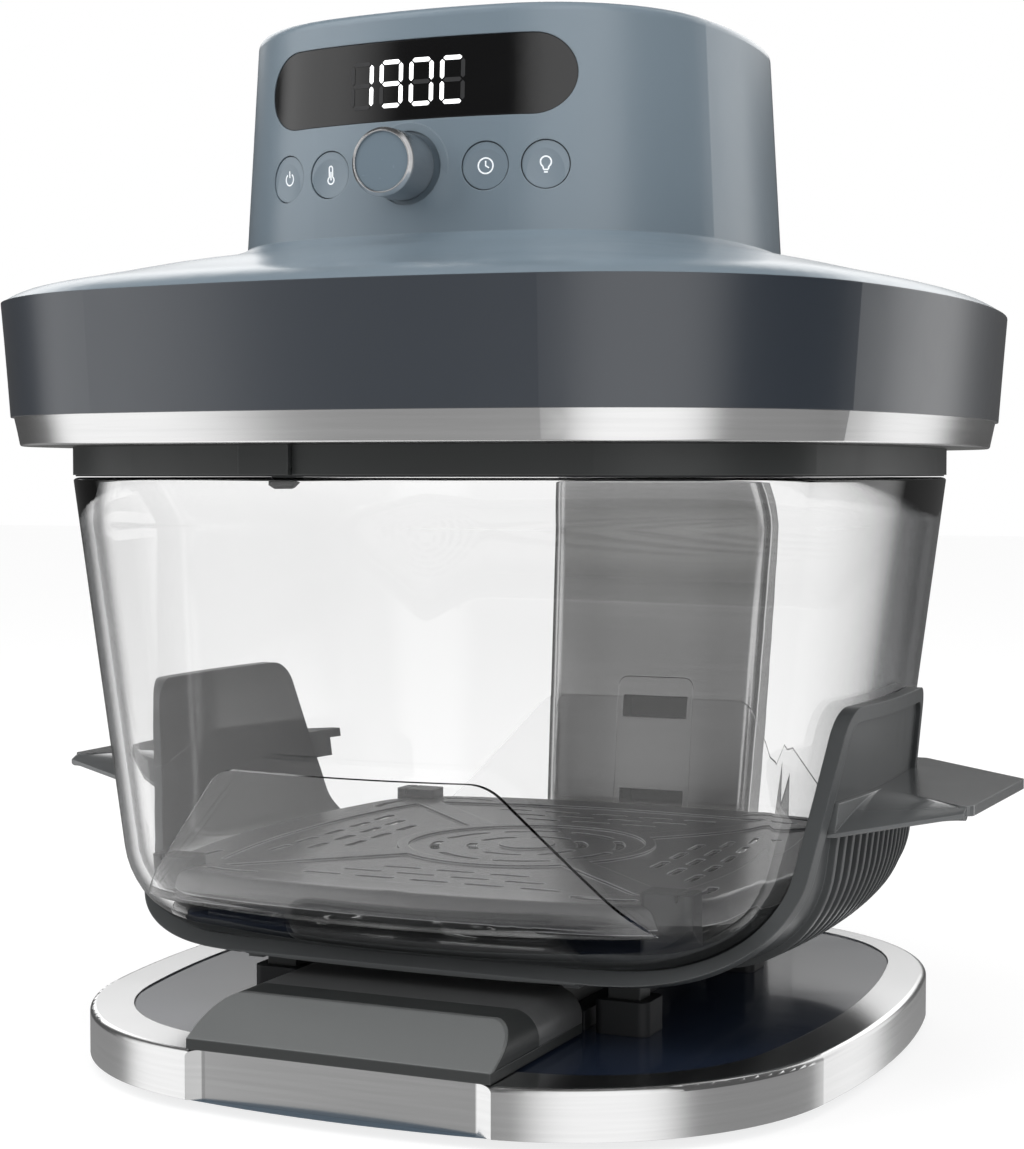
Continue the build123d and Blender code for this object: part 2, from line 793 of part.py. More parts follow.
def crisper_slots():
    face = Sketch()
    for i in range(6):
        face += crisper_slot(18.0, 3.2, 60 * i + 9, 60 * i + 44)
    for i in range(8):
        face += crisper_slot(30.0, 3.2, 45 * i + 6, 45 * i + 36)
    for side in range(4):
        for row, reach in enumerate(crisper_row_reaches):
            count = row + 3
            for x in spread(-9.0 * (count - 1), 9.0 * (count - 1), count):
                face += Rot(0, 0, 90 * side) * Pos(x, reach, 0) * SlotOverall(13.0, 3.2)
    corner_x, corner_y = corner_centre(crisper_outline)
    for side in range(4):
        # The long slots beside the bumpers follow the plate's corners.
        for start, end in ((-14.0, 24.0), (66.0, 104.0)):
            slot = crisper_slot(crisper_outline[3] - 9.0, 3.2, start, end)
            sx, sy = ((1, 1), (-1, 1), (-1, -1), (1, -1))[side]
            slot = Pos(corner_x, corner_y, 0) * slot
            if sx < 0:
                slot = slot.mirror(Plane.YZ)
            if sy < 0:
                slot = slot.mirror(Plane.XZ)
            face += slot
    return face


def crisper_sectors():
    # Four sunken fields between the diagonal ribs and the ring, and the sunken middle inside the ring.
    centre = crisper_outline[4]
    field = inset(crisper_outline, crisper_border)
    face = bowed_face(field[:4] + (0.0,), 0)
    face -= Circle(crisper_ring_radius)
    for turn in (45, 135):
        face -= Rot(0, 0, turn) * Rectangle(400, crisper_rib)
    face += Circle(crisper_ring_radius - crisper_ring_width) - Circle(crisper_hub_radius)
    return extrude(Pos(0, centre, crisper_top_z - crisper_emboss) * face, 10)


def crisper_plate():
    low = crisper_top_z - crisper_skirt
    centre = crisper_outline[4]
    body = crisper_skin_form() - crisper_sectors()
    return body - extrude(Pos(0, centre, low - 2) * crisper_slots(), crisper_skirt + 6)


def crisper_bumpers():
    # Soft corner blocks gripped through the plate, standing on the curved bottom of the glass.
    body = Part()
    centre = crisper_outline[4]
    wide, deep, high = bumper_size
    floor = glass_form(-glass_wall - running_gap, glass_top_z + 5)
    for x, y in four_corners(*bumper_offset, centre):
        foot = Pos(x, y, crisper_top_z + bumper_rise - high / 2 - 8) * Box(wide, deep, high + 16)
        foot = fillet(foot.edges().filter_by(Axis.Z), 2.0)
        notch_wide, notch_deep = bumper_notch
        notch_x = x + math.copysign(wide / 2 - notch_wide, x)
        notch_top = crisper_top_z + bumper_rise
        foot -= block(notch_x - 0.4, notch_x + 0.4, y - deep, y + deep, notch_top - notch_deep, notch_top + 1)
        body += foot & floor
    return body - crisper_skin_form()


def crisper_skin_form():
    low = crisper_top_z - crisper_skirt
    outer = bowed_block(crisper_outline, low, inset(crisper_outline, 1.5), crisper_top_z)
    outer = fillet(outer.edges().group_by(Axis.Z)[-1], 3.0)
    inner_top = inset(crisper_outline, 1.5 + crisper_skin)
    inner = bowed_block(inset(crisper_outline, crisper_skin), low - 1, inner_top, crisper_top_z - crisper_skin)
    body = outer - inner
    centre = crisper_outline[4]
    for x, y in four_corners(*bumper_offset, centre):
        body -= block(x - 3, x + 3, y - 3, y + 3, crisper_top_z - 4, crisper_top_z + 4)
    return body


# Head: collar and seal below, steel band and skirt round the heating cavity, shoulder and tower above


def cavity_outline(extra=0.0):
    return inset(glass_rim_outline, cavity_inset + extra)


def head_floor():
    outline = inset(skirt_outline, band_inset[0] + band_wall + seat_gap)
    low = head_floor_z
    high = low + head_floor_thickness
    body = bowed_block(outline, low, outline, high)
    body += bowed_ring(outline, 1.0, 3.4, high, skirt_bottom_z + 9)
    opening = cavity_outline(-0.4)
    body -= bowed_block(opening, low - 1, opening, high + 1)
    slot = spine_half + seat_gap
    body -= block(-slot, slot, spine_front_y - seat_gap, column_back_y - 2.5, low - 1, high)
    tab_x0, tab_x1 = interlock_tab_x
    tab_y0, tab_y1 = interlock_tab_y
    body -= block(tab_x0 - 0.6, tab_x1 + 0.6, tab_y0 - 0.6, tab_y1 + 0.6, low - 1, high + 1)
    return body


def collar():
    body = bowed_ring(glass_rim_outline, 0.0, collar_width, collar_bottom_z, head_floor_z)
    body -= bowed_ring(glass_rim_outline, gasket_inset[0], gasket_inset[1], 0, gasket_low_z() + gasket_height)
    x0, x1 = interlock_x
    return body - block(x0 - seat_gap, x1 + seat_gap, -150, -110, 170, 200)


def gasket_low_z():
    return glass_top_z + running_gap


def lid_gasket():
    low = gasket_low_z()
    return bowed_ring(glass_rim_outline, gasket_inset[0], gasket_inset[1], low, low + gasket_height)


def steel_band():
    low = inset(skirt_outline, band_inset[0])
    high = inset(skirt_outline, band_inset[1])
    body = bowed_block(low, head_floor_z, high, skirt_bottom_z)
    body = fillet(body.edges().group_by(Axis.Z)[0], 0.8)
    inner_low = inset(low, band_wall)
    inner_high = inset(low, band_wall)
    return body - bowed_block(inner_low, head_floor_z - 1, inner_high, skirt_bottom_z + 1)


def head_skirt():
    low = inset(skirt_outline, skirt_draft)
    body = bowed_block(low, skirt_bottom_z, skirt_outline, skirt_top_z)
    body -= bowed_block(inset(low, skirt_wall), skirt_bottom_z - 1, inset(skirt_outline, skirt_wall), skirt_top_z - 2)
    ledge = inset(skirt_outline, skirt_ledge)
    return body - bowed_block(ledge, skirt_top_z - 4, ledge, skirt_top_z + 1)


def blend_outline(share):
    foot = grown_tower(tower_foot_z)
    return tuple(a * (1 - share) + b * share for a, b in zip(skirt_outline, foot))


def grown_tower(z):
    scale = 1 + (tower_top_z - z) / (tower_top_z - tower_foot_z) * tower_spread
    half_x, half_y, side_r, corner_r, shift = tower_outline
    return (half_x * scale, half_y * scale, side_r * scale, corner_r * scale, shift)


def shoulder_form(skin):
    drop = skin * 0.9
    faces = []
    for z, share in shoulder_steps:
        low = z - drop if z > shoulder_steps[0][0] else z - (1.0 if skin else 0.0)
        faces.append(bowed_face(inset(blend_outline(share), skin), low))
    return loft(faces)


def tower_form(skin, top_z=tower_top_z):
    drop = skin * 0.9
    low = inset(grown_tower(tower_foot_z), skin)
    high = inset(grown_tower(top_z), skin)
    return bowed_block(low, tower_foot_z - drop, high, top_z)


def tower_body(skin):
    return bowed_block(inset(grown_tower(tower_foot_z), skin), tower_foot_z, inset(tower_outline, skin), tower_top_z)


def stadium(margin):
    plan = Pos(*display_centre) * SlotOverall(2 * (display_half - margin), display_height - 2 * margin)
    return extrude(Plane.XZ * plan, 150)


def front_point(x, z):
    # Point and outward direction on the tower's front at this height.
    half_x, half_y, side_r, corner_r, shift = grown_tower(z)
    cx, cy = corner_centre((half_x, half_y, side_r, corner_r, shift))
    joint_x = toward(0, half_y - side_r, side_r, cx, cy)[0]
    if abs(x) <= joint_x:
        turn = math.asin(x / side_r)
        return x, shift - (half_y - side_r) - side_r * math.cos(turn), turn
    turn = math.asin((abs(x) - cx) / corner_r)
    return x, shift - cy - corner_r * math.cos(turn), math.copysign(turn, x)


def facing(x, z):
    # Frame whose +Z points out of the tower's front at this place.
    px, py, turn = front_point(x, z)
    out = Vector(math.sin(turn), -math.cos(turn), 0)
    return Plane(origin=(px, py, z), x_dir=(math.cos(turn), math.sin(turn), 0), z_dir=out)


def bored(frame, out, back, radius):
    return frame * Pos(0, 0, (out - back) / 2) * Cylinder(radius, out + back)


def head_housing():
    outer = shoulder_form(0) + tower_form(0)
    outer = fillet(outer.edges().group_by(Axis.Z)[-1], tower_edge_round)
    hollow = shoulder_form(tower_wall) + tower_form(tower_wall, tower_top_z - tower_wall)
    body = outer - hollow
    body -= stadium(0)
    for x in button_places.values():
        body -= bored(facing(x, control_z), 5, 12, button_radius + button_gap)
    front = front_point(0, knob_z)[1]
    body += along_y(0, knob_z, front + 0.3, front + 3.2, knob_well_radius + 2.5)
    body -= along_y(0, knob_z, front - 8, front + knob_well_depth, knob_well_radius)
    body -= along_y(0, knob_z, front - 8, front + 8, encoder_bush_radius + seat_gap)
    for z in spread(262.0, 298.0, 7):
        body -= Pos(0, 60, z) * Box(56.0, 60, 2.4)
    for x in (-36.0, 36.0):
        for z in (249.5, 286.5):
            body += along_y(x, z, power_board_y, 75, 3.5) & outer
    return body


def display_lens():
    shell = tower_body(lens_setback) - tower_body(lens_setback + lens_thickness)
    body = shell & stadium(0.15)
    return Part() + min(body.solids(), key=lambda s: s.center().Y)


def display_module():
    x, z = display_centre
    plan = Pos(x, z) * RectangleRounded(86, 20, 2.0)
    back = board_y - board_thickness
    body = extrude(Plane.XZ.offset(-back) * plan, 20.0)
    return body & tower_body(lens_setback + lens_thickness + 0.3)


def control_board():
    plan = Pos(0, 282.0) * RectangleRounded(78, 56, 3.0)
    board = extrude(Plane.XZ.offset(-board_y) * plan, board_thickness)
    for x, z in ((-32.0, 270.0), (28.0, 272.0), (0.0, 300.0)):
        board += block(x - 6, x + 6, board_y, board_y + 3.0, z - 5, z + 5)
    return board


def button_carrier():
    shell = tower_body(carrier_depth) - tower_body(carrier_depth + carrier_thickness)
    band = block(-53, 53, -120, -20, control_z - carrier_half_height, control_z + carrier_half_height)
    body = shell & band
    lugs = tower_body(tower_wall + 0.3) - tower_body(carrier_depth + carrier_thickness)
    for side in (-1, 1):
        x0, x1 = sorted((side * 50.5, side * 53.0))
        body += lugs & block(x0, x1, -120, -30, control_z - carrier_half_height, control_z + carrier_half_height)
    body -= block(-8.5, 8.5, -120, -20, control_z - 9, control_z + 9)
    stop = block(30.0, 36.0, -120, board_y - board_thickness, control_z - 4, control_z + 4)
    return body + (mirrored(stop) & tower_body(carrier_depth + carrier_thickness))


def switch_place(x):
    return facing(x, control_z)


def tact_switches():
    body = Part()
    stem_end = button_length + 0.3 + button_travel + 0.3
    for x in button_places.values():
        depth = carrier_depth - stem_end + 0.2
        box = switch_place(x) * Pos(0, 0, -stem_end - depth / 2) * Box(6, 6, depth)
        body += box
    shell = tower_body(stem_end - 1) - tower_body(carrier_depth)
    return body & shell


def push_button(x):
    frame = facing(x, control_z)
    cap = bored(frame, 3.0, 2.4, button_radius)
    stem = bored(frame, 3.0, button_length, 2.6)
    body = (cap + stem) & tower_body(0.3)
    dish = frame * Pos(0, 0, 47.2) * Sphere(48.0)
    return body - dish


def control_knob():
    front = front_point(0, knob_z)[1]
    base_y = front_point(0, knob_z - knob_radius)[1] - knob_press - running_gap
    tip_y = front - knob_length
    ring = knob_ring_width
    barrel = along_y(0, knob_z, tip_y + ring, base_y, knob_radius)
    barrel += along_y(0, knob_z, tip_y + 0.5, tip_y + ring, knob_radius - ring)
    barrel -= along_y(0, knob_z, tip_y + 4.0, base_y + 1, spindle_radius + shaft_gap)
    barrel -= along_y(0, knob_z, base_y - 8.0, base_y + 1, encoder_bush_radius + 0.6)
    return barrel


def knob_ring():
    front = front_point(0, knob_z)[1]
    tip_y = front - knob_length
    ring = along_y(0, knob_z, tip_y, tip_y + knob_ring_width, knob_radius)
    ring = chamfer(ring.edges().group_by(Axis.Y)[0], knob_ring_width * 0.7)
    return ring - along_y(0, knob_z, tip_y - 1, tip_y + 3, knob_radius - knob_ring_width)


def knob_spindle():
    front = front_point(0, knob_z)[1]
    return along_y(0, knob_z, front - knob_length + 4.3, front + 9.0, spindle_radius)


def rotary_encoder():
    front = front_point(0, knob_z)[1]
    bush = along_y(0, knob_z, front, front + 7.0, encoder_bush_radius)
    case = block(-7.0, 7.0, front + 5.0, board_y - board_thickness, knob_z - 6.5, knob_z + 6.5)
    body = bush + case
    return body - along_y(0, knob_z, front - 10, front + 11.0, spindle_radius + shaft_gap)


# Heating side: reflector, fan on the motor shaft, spiral element, grille, lamp, sensor and interlock


def reflector():
    low = head_floor_z + head_floor_thickness
    outline = cavity_outline()
    body = bowed_block(outline, head_floor_z + 2.0, inset(outline, 6.0), cavity_roof_z)
    body = fillet(body.edges().group_by(Axis.Z)[-1], 14.0)
    inner_low = cavity_outline(cavity_wall)
    inner = bowed_block(inner_low, head_floor_z + 2.0, inset(inner_low, 6.0), cavity_roof_z - cavity_wall)
    inner = fillet(inner.edges().group_by(Axis.Z)[-1], 13.0)
    body -= inner
    body += bowed_ring(outline, -5.0, 0.3, low, low + cavity_wall)
    body -= post(0, fan_centre_y, 200, 240, fan_shaft_radius + 3.0)
    body -= post(*lamp_place, 200, 240, lamp_radius - 2.0)
    body -= post(*sensor_place, 200, 240, sensor_radius)
    for x, y in heater_ends():
        body -= post(x, y, 200, 240, heater_tube_radius + 0.4)
    return body


def heater_turns():
    # Half circles whose radius grows by half a pitch each time, so the turns lie one pitch apart.
    # Each entry is the way it bulges, where it starts and where it ends along X.
    turns = []
    x = heater_inner_radius
    for i in range(heater_half_turns):
        way = 1 if i % 2 == 0 else -1
        radius = heater_inner_radius + heater_pitch / 4 + i * heater_pitch / 2
        turns.append((way, x, x - way * 2 * radius))
        x = turns[-1][2]
    return turns


def heater_ends():
    turns = heater_turns()
    y = fan_centre_y - heater_bend
    return [(turns[0][1], y), (turns[-1][2], y)]


def heater_riser(x):
    # From the roof down and round a bend on to the spiral, which it meets along +Y.
    y = fan_centre_y - heater_bend
    low = heater_z + heater_bend
    cut = heater_bend * (1 - math.sqrt(0.5))
    drop = Line((x, y, cavity_roof_z + 6), (x, y, low))
    bend = ThreePointArc((x, y, low), (x, y + cut, heater_z + cut), (x, fan_centre_y, heater_z))
    return [drop, bend]


def heating_element():
    edges = heater_riser(heater_turns()[0][1]) + heater_riser(heater_turns()[-1][2])
    for way, start, end in heater_turns():
        radius = abs(end - start) / 2
        middle = ((start + end) / 2, fan_centre_y + way * radius, heater_z)
        edges.append(ThreePointArc((start, fan_centre_y, heater_z), middle, (end, fan_centre_y, heater_z)))
    path = Wire(edges)
    begin = Plane(origin=path @ 0, z_dir=path % 0)
    return Part() + sweep(begin * Circle(heater_tube_radius), path=path)


def convection_fan():
    body = post(0, fan_centre_y, fan_disc_z, fan_disc_z + fan_skin, fan_radius)
    body += post(0, fan_centre_y, fan_bottom_z + 2, fan_disc_z + 4, 10.0)
    root = fan_blade_root
    blade = block(root, fan_radius - 3.0, fan_centre_y - 0.7, fan_centre_y + 0.7, fan_bottom_z, fan_disc_z + 0.5)
    blade = Pos(root, fan_centre_y, 0) * Rot(0, 0, 24) * Pos(-root, -fan_centre_y, 0) * blade
    for turned in ring_of(blade, fan_blades, fan_centre_y):
        body += turned
    return body - post(0, fan_centre_y, 150, 300, fan_shaft_radius)


def motor_shaft():
    body = post(0, fan_centre_y, fan_bottom_z - 4, blower_top_z - 2, fan_shaft_radius)
    body += Pos(0, fan_centre_y, fan_bottom_z - 1.5) * extrude(RegularPolygon(8.0, 6), 3.0)
    return body


def motor():
    body = post(0, fan_centre_y, motor_bottom_z, motor_top_z, motor_radius)
    body = fillet(body.edges().group_by(Axis.Z)[-1], 4.0)
    return body - post(0, fan_centre_y, 200, 300, fan_shaft_radius + shaft_gap)


def motor_bracket():
    body = post(0, fan_centre_y, motor_bottom_z - 2.0, motor_bottom_z, motor_radius + 6)
    for x, y in four_corners(23.0, 23.0, fan_centre_y):
        body += post(x, y, cavity_roof_z, motor_bottom_z, 4.5)
    return body - post(0, fan_centre_y, 200, 300, fan_shaft_radius + 4.0)


def blower():
    low = motor_top_z + 4.0
    body = post(0, fan_centre_y, low, low + 1.6, blower_radius)
    body += post(0, fan_centre_y, low, blower_top_z, 8.0)
    blade = block(20.0, blower_radius - 1, fan_centre_y - 0.7, fan_centre_y + 0.7, low + 1.0, blower_top_z)
    for turned in ring_of(blade, 12, fan_centre_y):
        body += turned
    return body - post(0, fan_centre_y, 200, 320, fan_shaft_radius)


def guard_grille():
    outline = cavity_outline(0.3)
    low = head_floor_z + 0.2
    body = bowed_block(outline, low, outline, low + grille_thickness)
    cuts = Sketch()
    for ring, radius in enumerate(grille_rings):
        count = 4 + ring
        pitch = 360.0 / count
        web = math.degrees(6.0 / radius) + math.degrees(grille_slot_width / radius)
        for i in range(count):
            start = pitch * (i + 0.5 * (ring % 2))
            cuts += crisper_slot(radius, grille_slot_width, start + web / 2, start + pitch - web / 2)
    return body - extrude(Pos(0, fan_centre_y, low - 1) * cuts, grille_thickness + 2)


def oven_lamp():
    # The bulb on its seat, and the glass cup below it.
    x, y = lamp_place
    low = head_floor_z + 0.2 + grille_thickness
    bulb = post(x, y, low + 6.0, cavity_roof_z + 10, lamp_radius - 2.4)
    bulb += post(x, y, cavity_roof_z, cavity_roof_z + 10, lamp_radius)
    cup = post(x, y, low, low + 20.0, lamp_radius)
    cup = fillet(cup.edges().group_by(Axis.Z)[0], 2.0)
    return bulb + (cup - post(x, y, low + 2.0, low + 25.0, lamp_radius - 1.8))


def temperature_sensor():
    x, y = sensor_place
    body = post(x, y, head_floor_z + 8, cavity_roof_z + 5, sensor_radius - 0.1)
    return body + post(x, y, cavity_roof_z, cavity_roof_z + 5, sensor_radius + 3)


def interlock_housing():
    x0, x1 = interlock_x
    body = block(x0, x1, -131.2, -116.5, gasket_low_z() + gasket_height + 0.2, head_floor_z)
    body += block(x0, x1, -131.2, -129.6, collar_bottom_z, head_floor_z)
    tab_x0, tab_x1 = interlock_tab_x
    tab_y0, tab_y1 = interlock_tab_y
    gap = running_gap
    return body - block(tab_x0 - gap, tab_x1 + gap, tab_y0 - gap, tab_y1 + gap, 170, 200)


def interlock_tab():
    x0, x1 = interlock_tab_x
    y0, y1 = interlock_tab_y
    z0, z1 = interlock_tab_z
    body = block(x0, x1, y0, y1, z0, z1)
    return chamfer(body.edges().group_by(Axis.Z)[0], 1.2)


def power_board():
    plan = Pos(0, 268.0) * RectangleRounded(84, 50, 3.0)
    board = extrude(Plane.XZ.offset(-power_board_y) * plan, board_thickness)
    for x, z, size in ((-26.0, 262.0, 9.0), (0.0, 276.0, 7.0), (25.0, 264.0, 10.0)):
        front = power_board_y - board_thickness
        board += block(x - size, x + size, front - 8.0, front, z - size * 0.7, z + size * 0.7)
    return board


def housing_screws():
    body = Part()
    for x, y in pan_boss_places:
        body += post(x, y, pan_bottom_z, pan_bottom_z + 1.6, screw_head_radius)
        body += post(x, y, pan_bottom_z, plate_bottom_z, screw_radius - 0.05)
    for x, z in cover_screw_places:
        body += along_y(x, z, column_back_y - 1.2, column_back_y, screw_head_radius)
        body += along_y(x, z, column_back_y - 8.0, column_back_y, screw_radius - 0.05)
    return body


nodes = {
    "base_pan": pan,
    "rubber_feet": feet,
    "base_rim": rim,
    "base_plate": top_plate,
    "housing_screws": housing_screws,
    "column_shell": column_shell,
    "height_window_panel": window_panel,
    "window_pockets": window_pockets,
    "column_vent": column_vent,
    "column_spine": spine,
    "column_back_cover": back_cover,
    "cord_gland": cord_gland,
    "wiring_harness": wiring_harness,
    "lever_track": lever_track,
    "guide_blocks": guide_blocks,
    "lever_slide": lever_slide,
    "lever_sleeve": lever_sleeve,
    "lever_nose": lever_nose,
    "lever_panel": lever_panel,
    "lift_platform": lift_platform,
    "glass_bowl": glass_bowl,
    "cradle": cradle,
    "right_handle": lambda: wing(1),
    "left_handle": lambda: wing(-1),
    "front_guard": lambda: guard(-1),
    "rear_guard": lambda: guard(1),
    "crisper_plate": crisper_plate,
    "crisper_bumpers": crisper_bumpers,
    "head_floor": head_floor,
    "collar": collar,
    "lid_gasket": lid_gasket,
    "steel_band": steel_band,
    "head_skirt": head_skirt,
    "head_housing": head_housing,
    "display_lens": display_lens,
    "display_module": display_module,
    "control_board": control_board,
    "button_carrier": button_carrier,
    "tact_switches": tact_switches,
    "control_knob": control_knob,
    "knob_ring": knob_ring,
    "knob_spindle": knob_spindle,
    "rotary_encoder": rotary_encoder,
    "reflector": reflector,
    "heating_element": heating_element,
    "convection_fan": convection_fan,
    "motor_shaft": motor_shaft,
    "motor": motor,
    "motor_bracket": motor_bracket,
    "cooling_blower": blower,
    "guard_grille": guard_grille,
    "oven_lamp": oven_lamp,
    "temperature_sensor": temperature_sensor,
    "interlock_housing": interlock_housing,
    "interlock_tab": interlock_tab,
    "power_board": power_board,
}
for name, place in button_places.items():
    nodes[name] = lambda place=place: push_button(place)

for name, make in nodes.items():
    keep(name, make())
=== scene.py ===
import math

import bmesh
import bpy
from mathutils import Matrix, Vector


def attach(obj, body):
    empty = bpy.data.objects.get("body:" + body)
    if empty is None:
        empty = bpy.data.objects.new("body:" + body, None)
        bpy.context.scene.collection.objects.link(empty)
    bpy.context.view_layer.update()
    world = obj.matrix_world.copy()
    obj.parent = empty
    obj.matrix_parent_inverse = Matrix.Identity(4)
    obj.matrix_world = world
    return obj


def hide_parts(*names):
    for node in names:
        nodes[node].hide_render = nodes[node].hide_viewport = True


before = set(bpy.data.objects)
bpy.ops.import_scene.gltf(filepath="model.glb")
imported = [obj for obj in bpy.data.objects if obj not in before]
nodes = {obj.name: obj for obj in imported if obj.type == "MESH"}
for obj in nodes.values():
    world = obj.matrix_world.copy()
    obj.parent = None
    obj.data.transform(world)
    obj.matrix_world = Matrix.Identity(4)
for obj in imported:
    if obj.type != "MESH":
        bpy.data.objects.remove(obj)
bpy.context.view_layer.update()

mm = 0.001
print("frame loaded,", len(nodes), "CAD nodes")


# Colours are picked as screen values and turned into linear ones
def tone(red, green, blue):
    def linear(value):
        value = value / 255
        return value / 12.92 if value < 0.04045 else ((value + 0.055) / 1.055) ** 2.4

    return (linear(red), linear(green), linear(blue), 1.0)


# Shader node helpers: a socket takes a value, or the output of another node
def join(tree, source, target):
    tree.links.new(source, target)


def feed(tree, socket, source):
    if isinstance(source, bpy.types.NodeSocket):
        join(tree, source, socket)
    else:
        socket.default_value = source


def setSockets(tree, node, **sockets):
    for name, source in sockets.items():
        feed(tree, node.inputs[name.replace("_", " ")], source)


def put(tree, kind, at, **sockets):
    node = tree.nodes.new(kind)
    node.location = at
    setSockets(tree, node, **sockets)
    return node


def mathNode(tree, operation, first, second, at):
    node = put(tree, "ShaderNodeMath", at)
    node.operation = operation
    feed(tree, node.inputs[0], first)
    feed(tree, node.inputs[1], second)
    return node.outputs[0]


def vectorNode(tree, operation, first, second, at):
    node = put(tree, "ShaderNodeVectorMath", at)
    node.operation = operation
    feed(tree, node.inputs[0], first)
    feed(tree, node.inputs["Scale" if operation == "SCALE" else 1], second)
    return node.outputs["Value" if operation == "DOT_PRODUCT" else "Vector"]


def fadeNode(tree, source, start, end, at, low=0.0, high=1.0):
    fade = put(tree, "ShaderNodeMapRange", at, Value=source, From_Min=start, From_Max=end)
    setSockets(tree, fade, To_Min=low, To_Max=high)
    fade.interpolation_type = "SMOOTHSTEP"
    return fade.outputs["Result"]


# The Mix node's sockets for colours have the same names as its others, so they are found by number
colorSpots = {"first": 6, "second": 7, "result": 2}


def mixColors(tree, share, first, second, at):
    blend = put(tree, "ShaderNodeMix", at)
    blend.data_type = "RGBA"
    feed(tree, blend.inputs["Factor"], share)
    feed(tree, blend.inputs[colorSpots["first"]], first)
    feed(tree, blend.inputs[colorSpots["second"]], second)
    return blend.outputs[colorSpots["result"]]


def startGroup(name, inputs, outputs):
    group = bpy.data.node_groups.new(name, "ShaderNodeTree")
    for label, kind, value in inputs:
        socket = group.interface.new_socket(label, in_out="INPUT", socket_type=kind)
        socket.default_value = value
    for label, kind in outputs:
        group.interface.new_socket(label, in_out="OUTPUT", socket_type=kind)
    return group, group.nodes.new("NodeGroupInput"), group.nodes.new("NodeGroupOutput")


def placeGroup(tree, group, at, **sockets):
    node = put(tree, "ShaderNodeGroup", at)
    node.node_tree = group
    setSockets(tree, node, **sockets)
    return node


floatSocket = "NodeSocketFloat"
colorSocket = "NodeSocketColor"
vectorSocket = "NodeSocketVector"


# Noise lies about one half; this makes it a factor about one that strays by the amount
def aboutOne(tree, noise, amount, at):
    left, height = at
    shift = mathNode(tree, "SUBTRACT", noise, 0.5, at)
    scaled = mathNode(tree, "MULTIPLY", shift, amount, (left + 150, height))
    return mathNode(tree, "ADD", scaled, 1.0, (left + 300, height))


# Fine pits of moulded plastic, with a slow drift in colour
driftNoise = {"Scale": 14.0, "Detail": 3.0}


def buildMouldGrain():
    group, inn, out = startGroup(
        "mouldGrain",
        [
            ("Color", colorSocket, (0.5, 0.5, 0.5, 1)),
            ("Drift", floatSocket, 0.06),
            ("Pits", floatSocket, 2600.0),
        ],
        [("Color", colorSocket), ("Height", floatSocket)],
    )
    spot = put(group, "ShaderNodeTexCoord", (-900, 0)).outputs["Object"]
    slow = put(group, "ShaderNodeTexNoise", (-700, 200), Vector=spot, **driftNoise)
    pits = put(group, "ShaderNodeTexNoise", (-700, -100), Vector=spot, Scale=inn.outputs["Pits"], Detail=2.0)
    level = aboutOne(group, slow.outputs["Fac"], inn.outputs["Drift"], (-450, 200))
    tint = vectorNode(group, "SCALE", inn.outputs["Color"], level, (0, 100))
    join(group, tint, out.inputs["Color"])
    join(group, pits.outputs["Fac"], out.inputs["Height"])
    return group


# Long fine scratches: the coordinate is squeezed along the brushing and stretched across it
streakNoise = {"Scale": 1.0, "Detail": 2.0, "Roughness": 0.55}


def buildBrushing():
    group, inn, out = startGroup(
        "brushing",
        [
            ("Color", colorSocket, (0.6, 0.6, 0.6, 1)),
            ("Grain", vectorSocket, (16.0, 16.0, 700.0)),
            ("Contrast", floatSocket, 0.25),
            ("Roughness", floatSocket, 0.3),
        ],
        [("Color", colorSocket), ("Roughness", floatSocket), ("Height", floatSocket)],
    )
    spot = put(group, "ShaderNodeTexCoord", (-1000, 0)).outputs["Object"]
    stretched = vectorNode(group, "MULTIPLY", spot, inn.outputs["Grain"], (-800, 0))
    streak = put(group, "ShaderNodeTexNoise", (-600, 0), Vector=stretched, **streakNoise)
    level = aboutOne(group, streak.outputs["Fac"], inn.outputs["Contrast"], (-400, 100))
    tint = vectorNode(group, "SCALE", inn.outputs["Color"], level, (50, 100))
    rough = mathNode(group, "MULTIPLY", level, inn.outputs["Roughness"], (50, -100))
    join(group, tint, out.inputs["Color"])
    join(group, rough, out.inputs["Roughness"])
    join(group, streak.outputs["Fac"], out.inputs["Height"])
    return group


# Rounded-looking edges with a lighter line along them, where the rounded normal leaves the flat one; the line
# is partly wear and partly a painted highlight. It begins at the first cosine between them and is full at the
# second
wearAndHighlightCosines = {"From_Min": 0.995, "From_Max": 0.85}


def buildEdgeWear():
    group, inn, out = startGroup(
        "edgeWear",
        [
            ("Color", colorSocket, (0.5, 0.5, 0.5, 1)),
            ("Worn Color", colorSocket, (0.6, 0.6, 0.6, 1)),
            ("Radius", floatSocket, 0.0006),
            ("Wear", floatSocket, 0.4),
        ],
        [("Color", colorSocket), ("Normal", vectorSocket)],
    )
    bevel = put(group, "ShaderNodeBevel", (-700, 0), Radius=inn.outputs["Radius"])
    bevel.samples = 6
    surface = put(group, "ShaderNodeNewGeometry", (-700, -200))
    lean = vectorNode(group, "DOT_PRODUCT", bevel.outputs["Normal"], surface.outputs["Normal"], (-500, -100))
    edge = put(group, "ShaderNodeMapRange", (-300, -100), Value=lean, **wearAndHighlightCosines)
    amount = mathNode(group, "MULTIPLY", edge.outputs["Result"], inn.outputs["Wear"], (-100, -100))
    wornAndHighlight = mixColors(group, amount, inn.outputs["Color"], inn.outputs["Worn Color"], (100, 0))
    join(group, wornAndHighlight, out.inputs["Color"])
    join(group, bevel.outputs["Normal"], out.inputs["Normal"])
    return group


# Faint wiped marks, for the roughness of glossy surfaces: clean where the noise is low, marked elsewhere
markNoise = {"Detail": 5.0, "Roughness": 0.6, "Distortion": 1.2}
markRange = {"From_Min": 0.45, "From_Max": 0.75}


